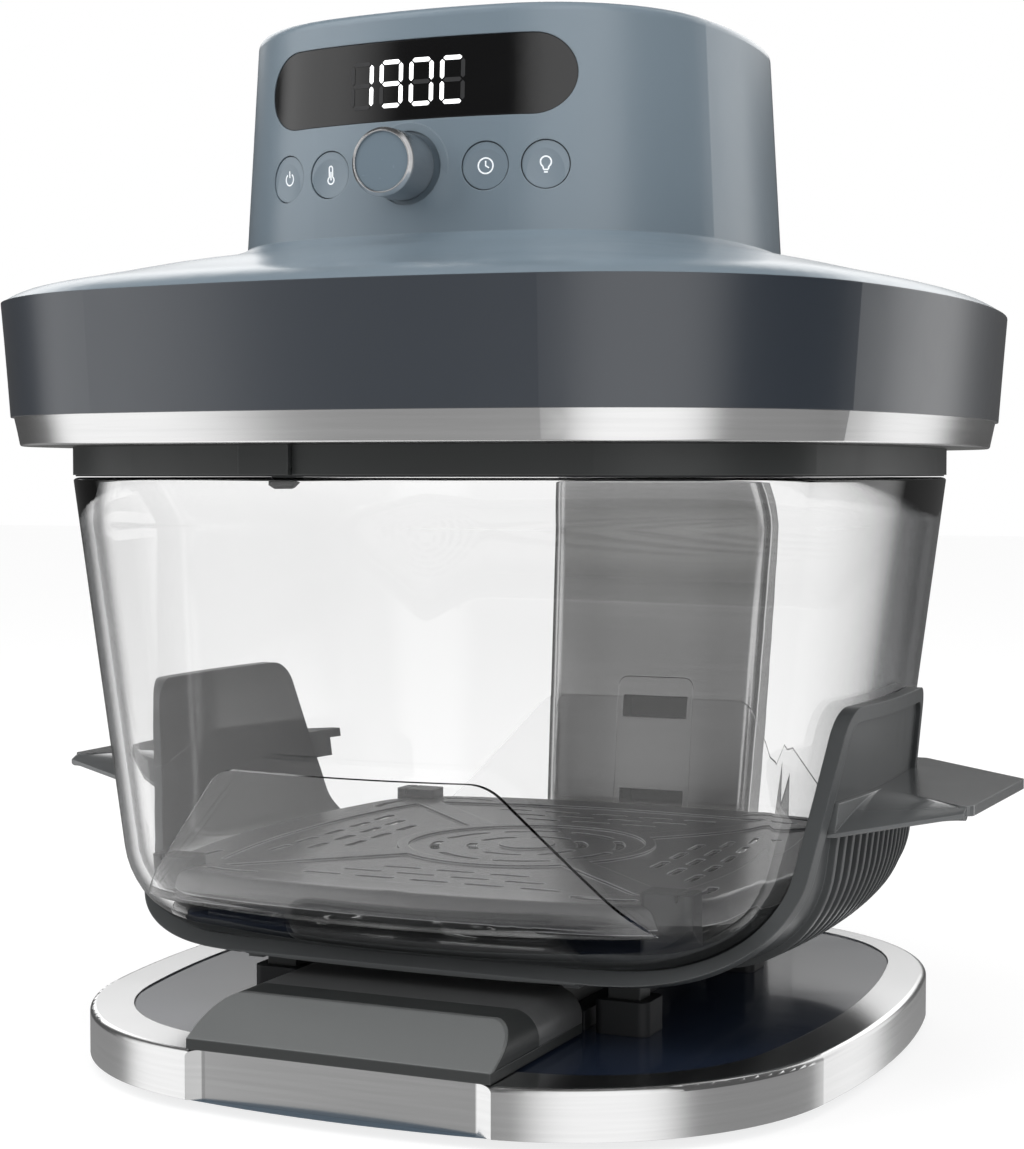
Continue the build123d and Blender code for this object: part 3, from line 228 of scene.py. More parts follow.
def buildWipeMarks():
    group, inn, out = startGroup(
        "wipeMarks",
        [("Clean", floatSocket, 0.06), ("Marked", floatSocket, 0.16), ("Scale", floatSocket, 22.0)],
        [("Roughness", floatSocket)],
    )
    spot = put(group, "ShaderNodeTexCoord", (-800, 0)).outputs["Object"]
    marks = put(group, "ShaderNodeTexNoise", (-600, 0), Vector=spot, Scale=inn.outputs["Scale"], **markNoise)
    spread = put(group, "ShaderNodeMapRange", (-350, 0), Value=marks.outputs["Fac"], **markRange)
    setSockets(group, spread, To_Min=inn.outputs["Clean"], To_Max=inn.outputs["Marked"])
    join(group, spread.outputs["Result"], out.inputs["Roughness"])
    return group


mouldGrain = buildMouldGrain()
brushing = buildBrushing()
edgeWear = buildEdgeWear()
wipeMarks = buildWipeMarks()
print("shader groups built")


def newMaterial(name):
    material = bpy.data.materials.new(name)
    material.use_nodes = True
    return material, material.node_tree, material.node_tree.nodes["Principled BSDF"]


def addBump(tree, shader, height, normal, look):
    bump = put(tree, "ShaderNodeBump", (-200, -300), Strength=look["bump"], Distance=look["depth"])
    setSockets(tree, bump, Height=height, Normal=normal)
    setSockets(tree, shader, Normal=bump.outputs["Normal"])


def addMarks(tree, look):
    marks = placeGroup(tree, wipeMarks, (-450, -100), Clean=look["rough"])
    setSockets(tree, marks, Marked=look["rough"] + look["marks"])
    return marks.outputs["Roughness"]


# What a finish takes where its own look says nothing else. Pits and grain are noise scales, finer as they
# rise; round and depth are in metres; marks is how much rougher a wiped mark is than the clean surface.
plasticLook = {
    "marks": 0.06,
    "pits": 2600.0,
    "wearAndHighlight": 0.35,
    "coat": 0.0,
    "coatRough": 0.1,
    "coatIor": 1.5,
    "specular": 0.5,
    "bump": 0.15,
    "depth": 0.00004,
}
metalLook = {
    "grain": (16.0, 16.0, 700.0),
    "contrast": 0.25,
    "metal": 1.0,
    "round": 0.0005,
    "wearAndHighlight": 0.5,
    "bump": 0.12,
    "depth": 0.00003,
}
glassLook = {"rough": 0.0, "marks": 0.01, "specular": 0.3}


def paintPlastic(name, look):
    look = {**plasticLook, **look}
    material, tree, shader = newMaterial(name)
    grain = placeGroup(tree, mouldGrain, (-700, 100), Color=look["color"], Pits=look["pits"])
    edge = placeGroup(tree, edgeWear, (-450, 100), Color=grain.outputs["Color"], Worn_Color=look["wornAndHighlight"])
    setSockets(tree, edge, Wear=look["wearAndHighlight"])
    setSockets(tree, shader, Base_Color=edge.outputs["Color"], Roughness=addMarks(tree, look))
    setSockets(tree, shader, Specular_IOR_Level=look["specular"])
    setSockets(tree, shader, Coat_Weight=look["coat"], Coat_Roughness=look["coatRough"])
    setSockets(tree, shader, Coat_IOR=look["coatIor"])
    addBump(tree, shader, grain.outputs["Height"], edge.outputs["Normal"], look)
    return material


def paintMetal(name, look):
    look = {**metalLook, **look}
    material, tree, shader = newMaterial(name)
    brushed = placeGroup(tree, brushing, (-700, 100), Color=look["color"], Grain=look["grain"])
    setSockets(tree, brushed, Contrast=look["contrast"], Roughness=look["rough"])
    edge = placeGroup(tree, edgeWear, (-450, 100), Color=brushed.outputs["Color"], Worn_Color=look["wornAndHighlight"])
    setSockets(tree, edge, Radius=look["round"], Wear=look["wearAndHighlight"])
    setSockets(tree, shader, Base_Color=edge.outputs["Color"], Roughness=brushed.outputs["Roughness"])
    setSockets(tree, shader, Metallic=look["metal"])
    addBump(tree, shader, brushed.outputs["Height"], edge.outputs["Normal"], look)
    return material


def paintKnob(name, look):
    # Brushed barrel with a round front face in the head's colour
    material = paintMetal(name, look)
    tree = material.node_tree
    shader = tree.nodes["Principled BSDF"]
    surface = put(tree, "ShaderNodeNewGeometry", (-900, -500))
    split = put(tree, "ShaderNodeSeparateXYZ", (-700, -500), Vector=surface.outputs["Normal"])
    # the knob turns and slides along Y, so what faces the front goes on facing it
    face = mathNode(tree, "LESS_THAN", split.outputs["Y"], look["faceNormalY"], (-500, -500))
    barrelColor = shader.inputs["Base Color"].links[0].from_socket
    tint = mixColors(tree, face, barrelColor, look["face"], (-150, 300))
    bare = mathNode(tree, "SUBTRACT", 1.0, face, (-150, 100))
    setSockets(tree, shader, Base_Color=tint, Metallic=bare)
    return material


def paintGlass(name, look):
    # Clear where it is seen square on, darker where it is seen edge on: painted shade for the dark edges of
    # thick glass
    look = {**glassLook, **look}
    material, tree, shader = newMaterial(name)
    slant = put(tree, "ShaderNodeLayerWeight", (-900, 200), Blend=0.5)
    edge = fadeNode(tree, slant.outputs["Facing"], look["edgeFrom"], look["edgeTo"], (-700, 200))
    tint = mixColors(tree, edge, look["color"], look["edge"], (-450, 200))
    setSockets(tree, shader, Base_Color=tint, Roughness=addMarks(tree, look), IOR=look["ior"])
    setSockets(tree, shader, Transmission_Weight=1.0, Specular_IOR_Level=look["specular"])
    return material


# Finishes, named for where they are on the fryer, with the way that each is painted
looks = {
    "headPlastic": (
        paintPlastic,
        {
            "color": tone(118, 133, 144),
            "wornAndHighlight": tone(150, 163, 172),
            "rough": 0.34,
            "coat": 0.9,
            "coatRough": 0.22,
            "coatIor": 1.6,
            "bump": 0.03,
            "wearAndHighlight": 0.2,
        },
    ),
    "slatePlastic": (
        paintPlastic,
        {
            "color": tone(37, 45, 55),
            "wornAndHighlight": tone(76, 85, 96),
            "rough": 0.34,
            "coat": 1.0,
            "coatRough": 0.24,
            "coatIor": 1.7,
            "bump": 0.03,
            "wearAndHighlight": 0.2,
        },
    ),
    "darkPlastic": (
        paintPlastic,
        {"color": tone(52, 54, 54), "wornAndHighlight": tone(96, 98, 98), "rough": 0.38},
    ),
    "cradlePlastic": (
        paintPlastic,
        {
            "color": tone(80, 82, 83),
            "wornAndHighlight": tone(120, 122, 123),
            "rough": 0.34,
            "specular": 0.3,
            "bump": 0.05,
        },
    ),
    "handlePlastic": (
        paintPlastic,
        {
            "color": tone(98, 100, 101),
            "wornAndHighlight": tone(150, 152, 153),
            "rough": 0.2,
            "coat": 1.0,
            "bump": 0.03,
        },
    ),
    "leverPlastic": (
        paintPlastic,
        {"color": tone(112, 114, 114), "wornAndHighlight": tone(150, 152, 152), "rough": 0.34, "bump": 0.06},
    ),
    "panPlastic": (
        paintPlastic,
        {"color": tone(72, 88, 102), "wornAndHighlight": tone(110, 124, 136), "rough": 0.4},
    ),
    "navyPlate": (
        paintPlastic,
        {
            "color": tone(34, 42, 58),
            "wornAndHighlight": tone(60, 70, 88),
            "rough": 0.16,
            "coat": 0.25,
            "coatRough": 0.05,
            "bump": 0.02,
        },
    ),
    # Crisper plate: the near-white colour along its edges is a painted highlight
    "nonStick": (
        paintPlastic,
        {
            "color": tone(60, 60, 62),
            "wornAndHighlight": tone(205, 205, 207),
            "rough": 0.3,
            "wearAndHighlight": 0.8,
            "coat": 0.3,
            "coatRough": 0.12,
            "bump": 0.2,
            "pits": 1400.0,
        },
    ),
    "silicone": (
        paintPlastic,
        {"color": tone(40, 41, 43), "wornAndHighlight": tone(66, 67, 69), "rough": 0.5, "bump": 0.2},
    ),
    "trimSteel": (
        paintMetal,
        {
            "color": tone(243, 243, 243),
            "wornAndHighlight": tone(252, 252, 252),
            "rough": 0.20,
            "contrast": 0.16,
            "bump": 0.04,
            "round": 0.00015,
            "wearAndHighlight": 0.0,
        },
    ),
    "columnSteel": (
        paintMetal,
        {
            "color": tone(226, 226, 226),
            "wornAndHighlight": tone(250, 250, 250),
            "rough": 0.22,
            "contrast": 0.12,
            "bump": 0.02,
        },
    ),
    "leverSteel": (
        paintMetal,
        {
            "color": tone(112, 113, 114),
            "wornAndHighlight": tone(160, 160, 160),
            "rough": 0.34,
            "metal": 0.45,
            "grain": (16.0, 700.0, 700.0),
        },
    ),
    "plainSteel": (
        paintMetal,
        {
            "color": tone(170, 170, 168),
            "wornAndHighlight": tone(210, 210, 210),
            "rough": 0.3,
            "grain": (300.0, 300.0, 300.0),
        },
    ),
    "knobSteel": (
        paintKnob,
        {
            "color": tone(176, 179, 182),
            "wornAndHighlight": tone(235, 235, 236),
            "rough": 0.26,
            "face": tone(112, 127, 138),
            "faceNormalY": -0.9,
            "bump": 0.04,
            "grain": (700.0, 60.0, 700.0),
        },
    ),
    "ringSteel": (
        paintMetal,
        {
            "color": tone(215, 215, 216),
            "wornAndHighlight": tone(240, 240, 240),
            "rough": 0.18,
            "grain": (600.0, 600.0, 600.0),
        },
    ),
    "displayBlack": (
        paintPlastic,
        {
            "color": tone(8, 8, 9),
            "wornAndHighlight": tone(40, 40, 42),
            "rough": 0.12,
            "coat": 0.8,
            "coatRough": 0.03,
            "bump": 0.0,
        },
    ),
    "circuitBoard": (
        paintPlastic,
        {"color": tone(24, 92, 52), "wornAndHighlight": tone(60, 130, 90), "rough": 0.35},
    ),
    "bowlGlass": (
        paintGlass,
        {
            "color": tone(252, 252, 252),
            "edge": tone(56, 57, 58),
            "edgeFrom": 0.48,
            "edgeTo": 0.76,
            "ior": 1.47,
        },
    ),
    "guardGlass": (
        paintGlass,
        {
            "color": tone(253, 253, 253),
            "edge": tone(150, 151, 152),
            "edgeFrom": 0.7,
            "edgeTo": 0.95,
            "ior": 1.40,
        },
    ),
    # Near-black for the vent slots and window pockets: painted shade in these recesses
    "recessShadeBlack": (
        paintPlastic,
        {"color": tone(10, 10, 11), "wornAndHighlight": tone(16, 16, 17), "rough": 0.6, "specular": 0.1},
    ),
}
finishes = {name: paint(name, look) for name, (paint, look) in looks.items()}
print("finishes built:", len(finishes))

dress = {
    "headPlastic": ["head_housing", "power_button", "temp_button", "time_button", "light_button"],
    "slatePlastic": ["head_skirt"],
    "darkPlastic": [
        "collar", "lever_nose", "lever_slide", "lift_platform",
        "column_back_cover", "cord_gland", "interlock_housing", "interlock_tab", "button_carrier",
        "tact_switches", "cooling_blower", "display_module",
    ],
    "cradlePlastic": ["cradle"],
    "recessShadeBlack": ["column_vent", "window_pockets"],
    "handlePlastic": ["right_handle", "left_handle"],
    "leverPlastic": ["lever_panel"],
    "panPlastic": ["base_pan"],
    "navyPlate": ["base_plate"],
    "nonStick": ["crisper_plate", "heating_element"],
    "silicone": [
        "crisper_bumpers", "lid_gasket", "rubber_feet", "wiring_harness", "lever_track", "guide_blocks",
    ],
    "trimSteel": ["base_rim", "steel_band"],
    "columnSteel": ["column_shell", "height_window_panel"],
    "leverSteel": ["lever_sleeve"],
    "plainSteel": [
        "column_spine", "head_floor", "reflector", "convection_fan", "motor_shaft", "motor", "motor_bracket",
        "guard_grille", "temperature_sensor", "housing_screws", "rotary_encoder", "knob_spindle",
    ],
    "knobSteel": ["control_knob"],
    "ringSteel": ["knob_ring"],
    "displayBlack": ["display_lens"],
    "circuitBoard": ["control_board", "power_board"],
    "bowlGlass": ["glass_bowl", "oven_lamp"],
    "guardGlass": ["front_guard", "rear_guard"],
}
for finish, names in dress.items():
    for name in names:
        materials = nodes[name].data.materials
        materials.clear()
        materials.append(finishes[finish])
left = set(nodes) - {name for names in dress.values() for name in names}
print("CAD nodes dressed, left over:", sorted(left))


# Bowed square rings: four long side arcs joined by tighter corner arcs. An outline is half its width, half
# its depth, the radius of its sides, the radius of its corners and how far its middle lies along Y.
def cornerCentre(outline):
    halfX, halfY, sideR, cornerR, _ = outline
    half = math.hypot(halfX - sideR, halfY - sideR) / 2
    rise = math.sqrt((sideR - cornerR) ** 2 - half**2)
    alongX = (sideR - halfX) / (2 * half)
    alongY = (halfY - sideR) / (2 * half)
    return (halfX - sideR) / 2 - alongY * rise, (halfY - sideR) / 2 + alongX * rise


def inset(outline, amount):
    halfX, halfY, sideR, cornerR, shift = outline
    return (halfX - amount, halfY - amount, sideR - amount, cornerR - amount, shift)


def bowedLoop(outline, z, sideSteps=14, cornerSteps=16):
    halfX, halfY, sideR, cornerR, shift = outline
    cx, cy = cornerCentre(outline)
    sideTurn = math.atan2(cy, cx + sideR - halfX)
    endTurn = math.atan2(cx, cy + sideR - halfY)
    quarter = []
    for i in range(sideSteps):
        turn = sideTurn * i / sideSteps
        quarter.append((halfX - sideR + sideR * math.cos(turn), sideR * math.sin(turn)))
    for i in range(cornerSteps):
        turn = sideTurn + (math.pi / 2 - endTurn - sideTurn) * i / cornerSteps
        quarter.append((cx + cornerR * math.cos(turn), cy + cornerR * math.sin(turn)))
    for i in range(sideSteps + 1):
        turn = endTurn * (1 - i / sideSteps)
        quarter.append((sideR * math.sin(turn), halfY - sideR + sideR * math.cos(turn)))
    loop = quarter[:-1]
    loop += [(-x, y) for x, y in reversed(quarter)][:-1]
    loop += [(-x, -y) for x, y in quarter][:-1]
    loop += [(x, -y) for x, y in reversed(quarter)][:-1]
    return [(x * mm, (y + shift) * mm, z * mm) for x, y in loop]


def addPiece(name, shape):
    # Turns a bmesh into an object of the scene, with its faces outward
    bmesh.ops.recalc_face_normals(shape, faces=shape.faces)
    mesh = bpy.data.meshes.new(name)
    shape.to_mesh(mesh)
    shape.free()
    piece = bpy.data.objects.new(name, mesh)
    bpy.context.collection.objects.link(piece)
    return piece


def skinLoops(name, loops):
    # A smooth skin through the loops, closed by a flat face at both ends
    shape = bmesh.new()
    rows = [[shape.verts.new(p) for p in loop] for loop in loops]
    count = len(rows[0])
    for low, high in zip(rows, rows[1:]):
        for i in range(count):
            j = (i + 1) % count
            shape.faces.new((low[i], low[j], high[j], high[i]))
    shape.faces.new(list(reversed(rows[0])))
    shape.faces.new(rows[-1])
    piece = addPiece(name, shape)
    piece.data.polygons.foreach_set("use_smooth", [True] * len(piece.data.polygons))
    return piece


# The bowl: one thick-walled glass form with a deep rolled bottom
bowl = {
    "rim": (126.6, 127.5, 363.0, 60.0, -2.0),
    "rimZ": 179.5,
    "floorZ": 40.0,
    "draft": 0.13,
    "wall": 4.0,
    "bottomRound": 30.0,
    "lip": 1.2,
    "insetLimit": 45.0,  # up to here the rim's outline is set in; further in it shrinks
    "floorReaches": (60.0, 80.0, 100.0, 116.0),
    "wallSteps": 9,
    "roundSteps": 12,
    "lipSteps": 8,
}


def bowlProfile(grow, topZ):
    # (inset from the rim outline, height) from the top down to the middle of the floor
    lean = math.atan(bowl["draft"])
    radius = bowl["bottomRound"] + grow
    low = bowl["floorZ"] - grow
    centreZ = low + radius
    centreIn = bowl["draft"] * (bowl["rimZ"] - centreZ) - grow + radius / math.cos(lean)
    wallEnd = centreZ - radius * math.sin(lean)
    points = []
    for i in range(bowl["wallSteps"]):
        z = topZ + (wallEnd - topZ) * i / bowl["wallSteps"]
        points.append((bowl["draft"] * (bowl["rimZ"] - z) - grow, z))
    for i in range(bowl["roundSteps"] + 1):
        turn = lean + (math.pi / 2 - lean) * i / bowl["roundSteps"]
        points.append((centreIn - radius * math.cos(turn), centreZ - radius * math.sin(turn)))
    return points + [(reach, low) for reach in bowl["floorReaches"]]


def bowlRing(point):
    amount, z = point
    outline = inset(bowl["rim"], min(amount, bowl["insetLimit"]))
    if amount > bowl["insetLimit"]:
        share = (bowl["rim"][0] - amount) / outline[0]
        outline = tuple(size * share for size in outline[:4]) + outline[4:]
    return bowedLoop(outline, z)


def makeBowl():
    wallTop = bowl["rimZ"] - bowl["lip"]
    middle = bowl["wall"] / 2
    lip = []
    for i in range(1, bowl["lipSteps"]):
        turn = math.pi * i / bowl["lipSteps"]
        lip.append((middle + middle * math.cos(turn), wallTop + bowl["lip"] * math.sin(turn)))
    profile = bowlProfile(-bowl["wall"], wallTop)[::-1] + lip + bowlProfile(0.0, wallTop)
    piece = skinLoops("bowl_glass", [bowlRing(point) for point in profile])
    piece.data.materials.append(finishes["bowlGlass"])
    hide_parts("glass_bowl")
    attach(piece, "container")
    piece.visible_shadow = False


makeBowl()
for name in ("front_guard", "rear_guard", "oven_lamp"):
    nodes[name].visible_shadow = False
print("bowl blown")


# Signs and readout are thin raised shapes laid on the curved front
tower = {"outline": (76.0, 75.8, 175.7, 53.4, -9.7), "footZ": 249.6, "topZ": 314.7, "spread": 0.048}


def towerOutline(z, depth=0.0):
    scale = 1 + (tower["topZ"] - z) / (tower["topZ"] - tower["footZ"]) * tower["spread"]
    halfX, halfY, sideR, cornerR, shift = tower["outline"]
    return inset((halfX * scale, halfY * scale, sideR * scale, cornerR * scale, shift), depth)


def towerFront(x, z, depth=0.0):
    # (y of the front at this place, turn of its outward direction from -Y towards +X)
    halfX, halfY, sideR, cornerR, shift = towerOutline(z, depth)
    cx, cy = cornerCentre((halfX, halfY, sideR, cornerR, shift))
    jointX = sideR * cx / math.hypot(cx, cy + sideR - halfY)
    if abs(x) <= jointX:
        turn = math.asin(x / sideR)
        return shift - (halfY - sideR) - sideR * math.cos(turn), turn
    turn = math.asin((abs(x) - cx) / cornerR)
    return shift - cy - cornerR * math.cos(turn), math.copysign(turn, x)


def raiseShapes(name, shapes, spot, thickness):
    # Every shape is a closed flat outline in millimetres; spot turns (x, z, lift) into a place in the frame
    body = bmesh.new()
    for outline in shapes:
        front = [body.verts.new(spot(x, z, thickness)) for x, z in outline]
        back = [body.verts.new(spot(x, z, 0.0)) for x, z in outline]
        count = len(outline)
        body.faces.new(front)
        body.faces.new(list(reversed(back)))
        for i in range(count):
            j = (i + 1) % count
            body.faces.new((front[i], back[i], back[j], front[j]))
    return addPiece(name, body)


def strokeQuads(points, width):
    # A line of even width as short four-sided pieces that meet on their mitres
    count = len(points)
    sides = []
    for i, (x, z) in enumerate(points):
        before = points[max(i - 1, 0)]
        after = points[min(i + 1, count - 1)]
        run = math.hypot(after[0] - before[0], after[1] - before[1])
        nx, nz = (before[1] - after[1]) / run, (after[0] - before[0]) / run
        sides.append(((x + nx * width / 2, z + nz * width / 2), (x - nx * width / 2, z - nz * width / 2)))
    return [(a[0], b[0], b[1], a[1]) for a, b in zip(sides, sides[1:])]


def arcPoints(cx, cz, radius, start, end, steps):
    turns = [math.radians(start + (end - start) * i / steps) for i in range(steps + 1)]
    return [(cx + radius * math.cos(t), cz + radius * math.sin(t)) for t in turns]


# Readout: four seven-bar figures behind the dark window, and the faint bars that are not lit, which still
# glow faintly: a painted sheen
readout = {
    "text": "190C",
    "firstX": -15.6,
    "pitch": 9.75,
    "middleZ": 293.3,
    "width": 6.4,
    "height": 12.6,
    "bar": 1.25,
    "gap": 0.35,
    "depth": 0.12,
    "thickness": 0.05,
    "litColor": tone(255, 255, 255),
    "litGlow": 1.2,
    "unlitColor": tone(46, 46, 47),
    "unlitGlow": 0.25,
}
litBars = {"1": "bc", "9": "abcdfg", "0": "abcdef", "C": "adef"}


def figureBars(middleX):
    # Half sizes; each bar is a long outline with six corners
    wide, high, bar = readout["width"] / 2, readout["height"] / 2, readout["bar"] / 2
    gap = readout["gap"]

    def across(z):
        x = wide - gap
        outline = [(-x, 0), (-x + bar, bar), (x - bar, bar), (x, 0), (x - bar, -bar), (-x + bar, -bar)]
        return [(middleX + a, readout["middleZ"] + z + b) for a, b in outline]

    def upright(x, foot, top):
        outline = [(0, foot + gap), (bar, foot + gap + bar), (bar, top - gap - bar), (0, top - gap)]
        outline += [(-bar, top - gap - bar), (-bar, foot + gap + bar)]
        return [(middleX + x + a, readout["middleZ"] + b) for a, b in outline]

    return {
        "a": across(high), "g": across(0), "d": across(-high),
        "f": upright(-wide, 0, high), "b": upright(wide, 0, high),
        "e": upright(-wide, -high, 0), "c": upright(wide, -high, 0),
    }


def lensSpot(x, z, lift):
    y, _ = towerFront(x, z, readout["depth"])
    return (x * mm, (y - lift) * mm, z * mm)


def glowMaterial(name, color, strength):
    material, tree, shader = newMaterial(name)
    setSockets(tree, shader, Base_Color=color, Roughness=0.4)
    setSockets(tree, shader, Emission_Color=color, Emission_Strength=strength)
    return material


def makeReadout():
    lit, faint = [], []
    for column, sign in enumerate(readout["text"]):
        bars = figureBars(readout["firstX"] + column * readout["pitch"])
        lit += [bars[b] for b in litBars[sign]]
        faint += [bars[b] for b in bars if b not in litBars[sign]]
    figures = raiseShapes("readout_figures", lit, lensSpot, readout["thickness"])
    figures.data.materials.append(glowMaterial("readoutWhite", readout["litColor"], readout["litGlow"]))
    unlit = raiseShapes("readout_unlit_bars", faint, lensSpot, readout["thickness"])
    unlit.data.materials.append(glowMaterial("readoutUnlit", readout["unlitColor"], readout["unlitGlow"]))
    for piece in (figures, unlit):
        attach(piece, "body")


makeReadout()

# Signs on the dished faces of the four buttons: power, thermometer, clock and lamp
signs = {
    "z": 268.2,
    "line": 0.42,
    "dishRadius": 48.0,
    "dishMiddle": 47.2,  # how far the middle of the dish's ball lies in front of the tower
    "lift": 0.01,
    "thickness": 0.04,
    "color": tone(236, 240, 243),
    "glow": 0.35,
}
# Each button with its X, its body and the lines of its sign round the button's middle
signShapes = {
    "power_button": (-42.8, "power_key", [arcPoints(0, 0, 1.75, 125, 415, 22), [(0, 0.5), (0, 2.5)]]),
    "temp_button": (
        -26.4,
        "temp_key",
        [
            arcPoints(0, -1.5, 1.1, 125, 415, 18),
            [(-0.6, -0.6), (-0.6, 2.0)],
            [(0.6, -0.6), (0.6, 2.0)],
            arcPoints(0, 2.0, 0.6, 0, 180, 8),
            [(0, -1.5), (0, 1.0)],
        ],
    ),
    "time_button": (24.1, "time_key", [arcPoints(0, 0, 2.2, 0, 360, 28), [(0, 1.4), (0, 0), (1.0, -0.6)]]),
    "light_button": (
        41.3,
        "light_key",
        [
            arcPoints(0, 0.7, 1.55, -55, 235, 24),
            [(0.85, -0.6), (0.7, -1.4)],
            [(-0.85, -0.6), (-0.7, -1.4)],
            [(-0.7, -1.5), (0.7, -1.5)],
            [(-0.55, -2.2), (0.55, -2.2)],
        ],
    ),
}


def makeSign(button, buttonX, body, lines):
    y, turn = towerFront(buttonX, signs["z"])
    origin = Vector((buttonX, y, signs["z"]))
    outward = Vector((math.sin(turn), -math.cos(turn), 0))
    sideways = Vector((math.cos(turn), math.sin(turn), 0))

    def dishSpot(x, z, lift):
        sink = signs["dishMiddle"] - math.sqrt(signs["dishRadius"] ** 2 - x * x - z * z)
        return (origin + sideways * x + Vector((0, 0, z)) + outward * (sink + signs["lift"] + lift)) * mm

    strokes = [quad for line in lines for quad in strokeQuads(line, signs["line"])]
    piece = raiseShapes(button + "_sign", strokes, dishSpot, signs["thickness"])
    piece.data.materials.append(glowingSignInk)
    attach(piece, body)


# The pale ink of the signs glows faintly: painted light that keeps it bright
glowingSignInk = glowMaterial("glowingSignInk", signs["color"], signs["glow"])
for button, (buttonX, body, lines) in signShapes.items():
    makeSign(button, buttonX, body, lines)
print("readout and signs laid")

# Studio: pale floor and white surround. Shiny walls see a dim room with soft strips. Each strip has its
# direction in degrees round the fryer (0 in front, 90 at its right), how far each way it stays full, where it
# has faded out, how bright it is, and the heights in degrees where it begins, is full, starts to fade and
# ends. A lamp has its direction, its distance and height, its width and length, and its power.
studio = {
    "floorSize": 12.0,
    "paperColor": (0.9, 0.9, 0.9, 1),
    "paperRough": 0.9,
    "floorGlow": 0.7,
    "glowStrength": 1.15,
    "white": 1.0,
    "fill": 0.6,
    "room": 0.08,
    "roomBelow": 0.28,  # the room grows lighter between the next two heights, in degrees
    "belowFrom": -5,
    "belowFull": -15,
    "aim": (0.0, 0.0, 0.18),
    "strips": [
        (-61.0, 11.0, 34.0, 1.0, -90, -89, 60, 90),
        (37.0, 9.0, 44.0, 1.0, -90, -89, 60, 90),
        (-15.0, 16.0, 30.0, 0.3, -90, -89, 4, 15),
        (150.0, 4.0, 15.0, 1.0, -90, -89, 60, 90),
        (-160.0, 32.0, 50.0, 1.6, 9, 17, 26, 42),
    ],
    "lamps": {
        "keyLight": (-45.0, 1.5, 1.0, (0.9, 1.1), 9.0),
        "sideLight": (60.0, 1.5, 0.9, (0.9, 1.1), 6.0),
        "topLight": (0.0, 0.2, 1.6, (1.4, 1.0), 10.0),
    },
}


def around(turn, distance, height):
    angle = math.radians(turn)
    return (distance * math.sin(angle), -distance * math.cos(angle), height)


def blendShaders(tree, share, first, second, at):
    blend = put(tree, "ShaderNodeMixShader", at, Fac=share)
    join(tree, first.outputs[0], blend.inputs[1])
    join(tree, second.outputs[0], blend.inputs[2])
    return blend


def makeFloor():
    bpy.ops.mesh.primitive_plane_add(size=studio["floorSize"], location=(0, 0, 0))
    floor = bpy.context.object
    floor.name = "floor"
    material, tree, paper = newMaterial("floorPaper")
    setSockets(tree, paper, Base_Color=studio["paperColor"], Roughness=studio["paperRough"])
    glow = put(tree, "ShaderNodeEmission", (0, 200), Strength=studio["glowStrength"])
    rays = put(tree, "ShaderNodeLightPath", (-400, 400)).outputs
    seen = mathNode(tree, "MAXIMUM", rays["Is Camera Ray"], rays["Is Transmission Ray"], (-200, 400))
    also = mathNode(tree, "MAXIMUM", seen, rays["Is Glossy Ray"], (-100, 400))
    share = mathNode(tree, "MULTIPLY", also, studio["floorGlow"], (0, 400))
    blend = blendShaders(tree, share, paper, glow, (250, 100))
    join(tree, blend.outputs[0], tree.nodes["Material Output"].inputs["Surface"])
    floor.data.materials.append(material)
    floor.visible_glossy = False


def stripSum(tree):
    # Brightness of the room in each direction: its grey, or the strongest strip there
    way = put(tree, "ShaderNodeTexCoord", (-2000, -200)).outputs["Generated"]
    flat = vectorNode(tree, "MULTIPLY", way, (1, 1, 0), (-1800, -200))
    unit = put(tree, "ShaderNodeVectorMath", (-1600, -200))
    unit.operation = "NORMALIZE"
    join(tree, flat, unit.inputs[0])
    height = put(tree, "ShaderNodeSeparateXYZ", (-1800, -500), Vector=way).outputs["Z"]
    low, high = [math.sin(math.radians(studio[edge])) for edge in ("belowFull", "belowFrom")]
    total = fadeNode(tree, height, low, high, (-1400, -700), studio["roomBelow"], studio["room"])
    for row, (turn, full, gone, level, *heights) in enumerate(studio["strips"]):
        y = -220 * row
        near = vectorNode(tree, "DOT_PRODUCT", unit.outputs[0], around(turn, 1.0, 0.0), (-1400, y))
        outer, inner = [math.cos(math.radians(edge)) for edge in (gone, full)]
        begin, whole, wane, end = [math.sin(math.radians(edge)) for edge in heights]
        across = fadeNode(tree, near, outer, inner, (-1200, y), 0.0, level)
        rising = fadeNode(tree, height, begin, whole, (-1200, y - 60))
        waning = fadeNode(tree, height, wane, end, (-1200, y - 120), 1.0, 0.0)
        tall = mathNode(tree, "MULTIPLY", rising, waning, (-1000, y - 60))
        shown = mathNode(tree, "MULTIPLY", across, tall, (-800, y))
        total = mathNode(tree, "MAXIMUM", total, shown, (-600, y))
    return total


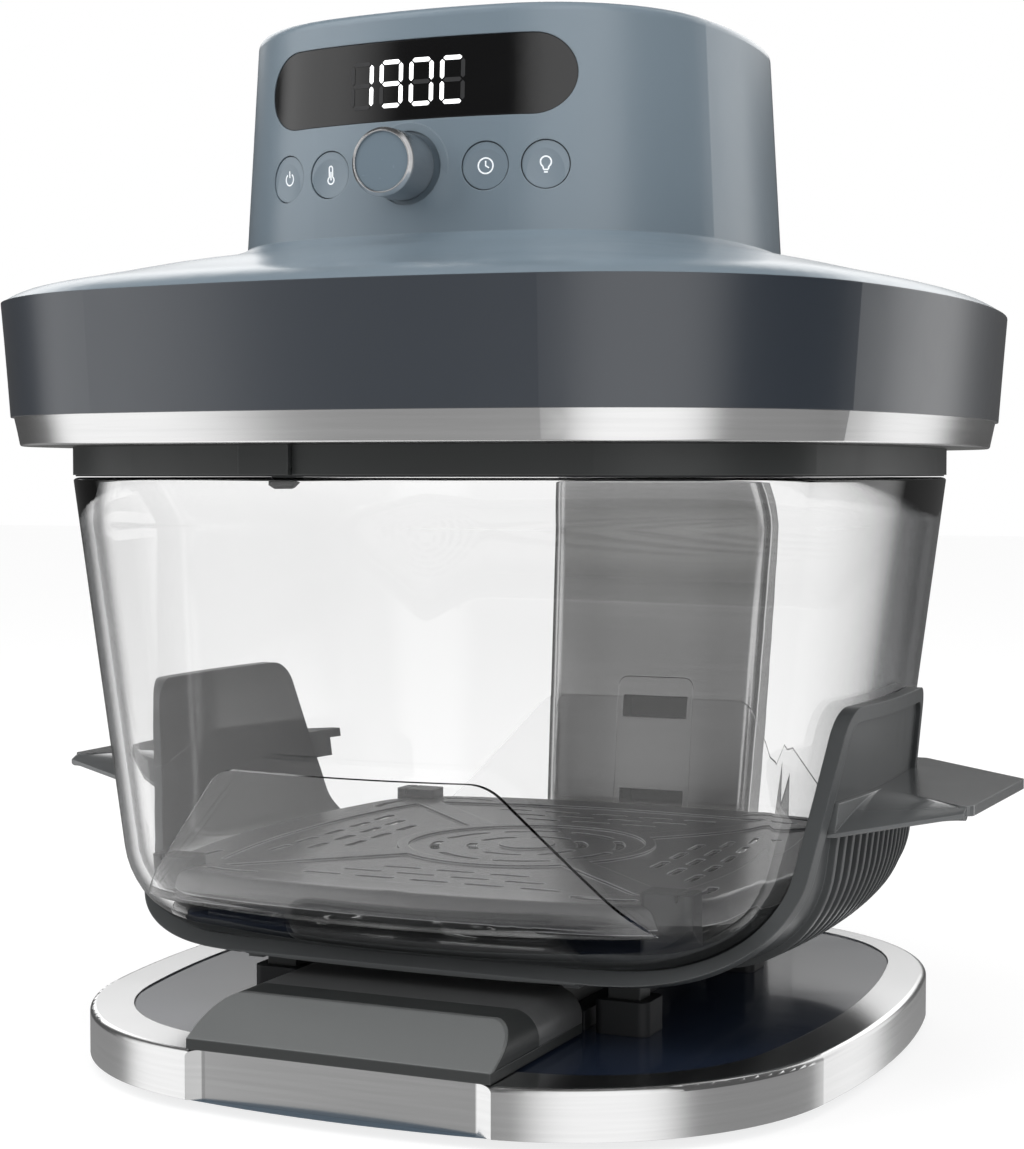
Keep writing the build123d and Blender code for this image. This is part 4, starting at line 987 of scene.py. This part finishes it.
def makeWorld():
    world = bpy.data.worlds.new("studio")
    bpy.context.scene.world = world
    world.use_nodes = True
    tree = world.node_tree
    tree.nodes.clear()
    rays = put(tree, "ShaderNodeLightPath", (-600, 300)).outputs
    seen = mathNode(tree, "MAXIMUM", rays["Is Camera Ray"], rays["Is Transmission Ray"], (-400, 300))
    plain = mathNode(tree, "LESS_THAN", rays["Glossy Depth"], 0.5, (-400, 500))  # no mirror on the way
    straight = mathNode(tree, "MULTIPLY", seen, plain, (-200, 300))
    fill = put(tree, "ShaderNodeBackground", (0, 200), Strength=studio["fill"])
    room = put(tree, "ShaderNodeBackground", (0, 0), Strength=stripSum(tree))
    white = put(tree, "ShaderNodeBackground", (0, -200), Strength=studio["white"])
    for light in (fill, room, white):
        setSockets(tree, light, Color=(1, 1, 1, 1))
    shiny = blendShaders(tree, rays["Is Glossy Ray"], fill, room, (200, 100))
    whole = blendShaders(tree, straight, shiny, white, (400, 0))
    output = put(tree, "ShaderNodeOutputWorld", (600, 0))
    join(tree, whole.outputs[0], output.inputs["Surface"])


def softBox(name, turn, distance, height, size, power):
    at = around(turn, distance, height)
    light = bpy.data.lights.new(name, "AREA")
    light.shape = "RECTANGLE"
    light.size, light.size_y = size
    light.energy = power
    lamp = bpy.data.objects.new(name, light)
    lamp.location = at
    lamp.rotation_euler = (Vector(studio["aim"]) - Vector(at)).to_track_quat("-Z", "Y").to_euler()
    lamp.visible_glossy = False
    lamp.visible_transmission = False
    bpy.context.collection.objects.link(lamp)


makeFloor()
makeWorld()
for name, lamp in studio["lamps"].items():
    softBox(name, *lamp)
print("studio lit")

camera = {"at": (0.30388, -0.68571, 0.18057), "turn": 24.36, "down": 2.496, "lens": 72.36, "sensor": 36.0}


def makeCamera():
    data = bpy.data.cameras.new("camera")
    data.lens = camera["lens"]
    data.sensor_width = camera["sensor"]
    eye = bpy.data.objects.new("camera", data)
    eye.location = camera["at"]
    eye.rotation_euler = (math.radians(90 - camera["down"]), 0, math.radians(camera["turn"]))
    bpy.context.collection.objects.link(eye)
    bpy.context.scene.camera = eye


makeCamera()
bpy.context.scene.view_settings.view_transform = "Standard"
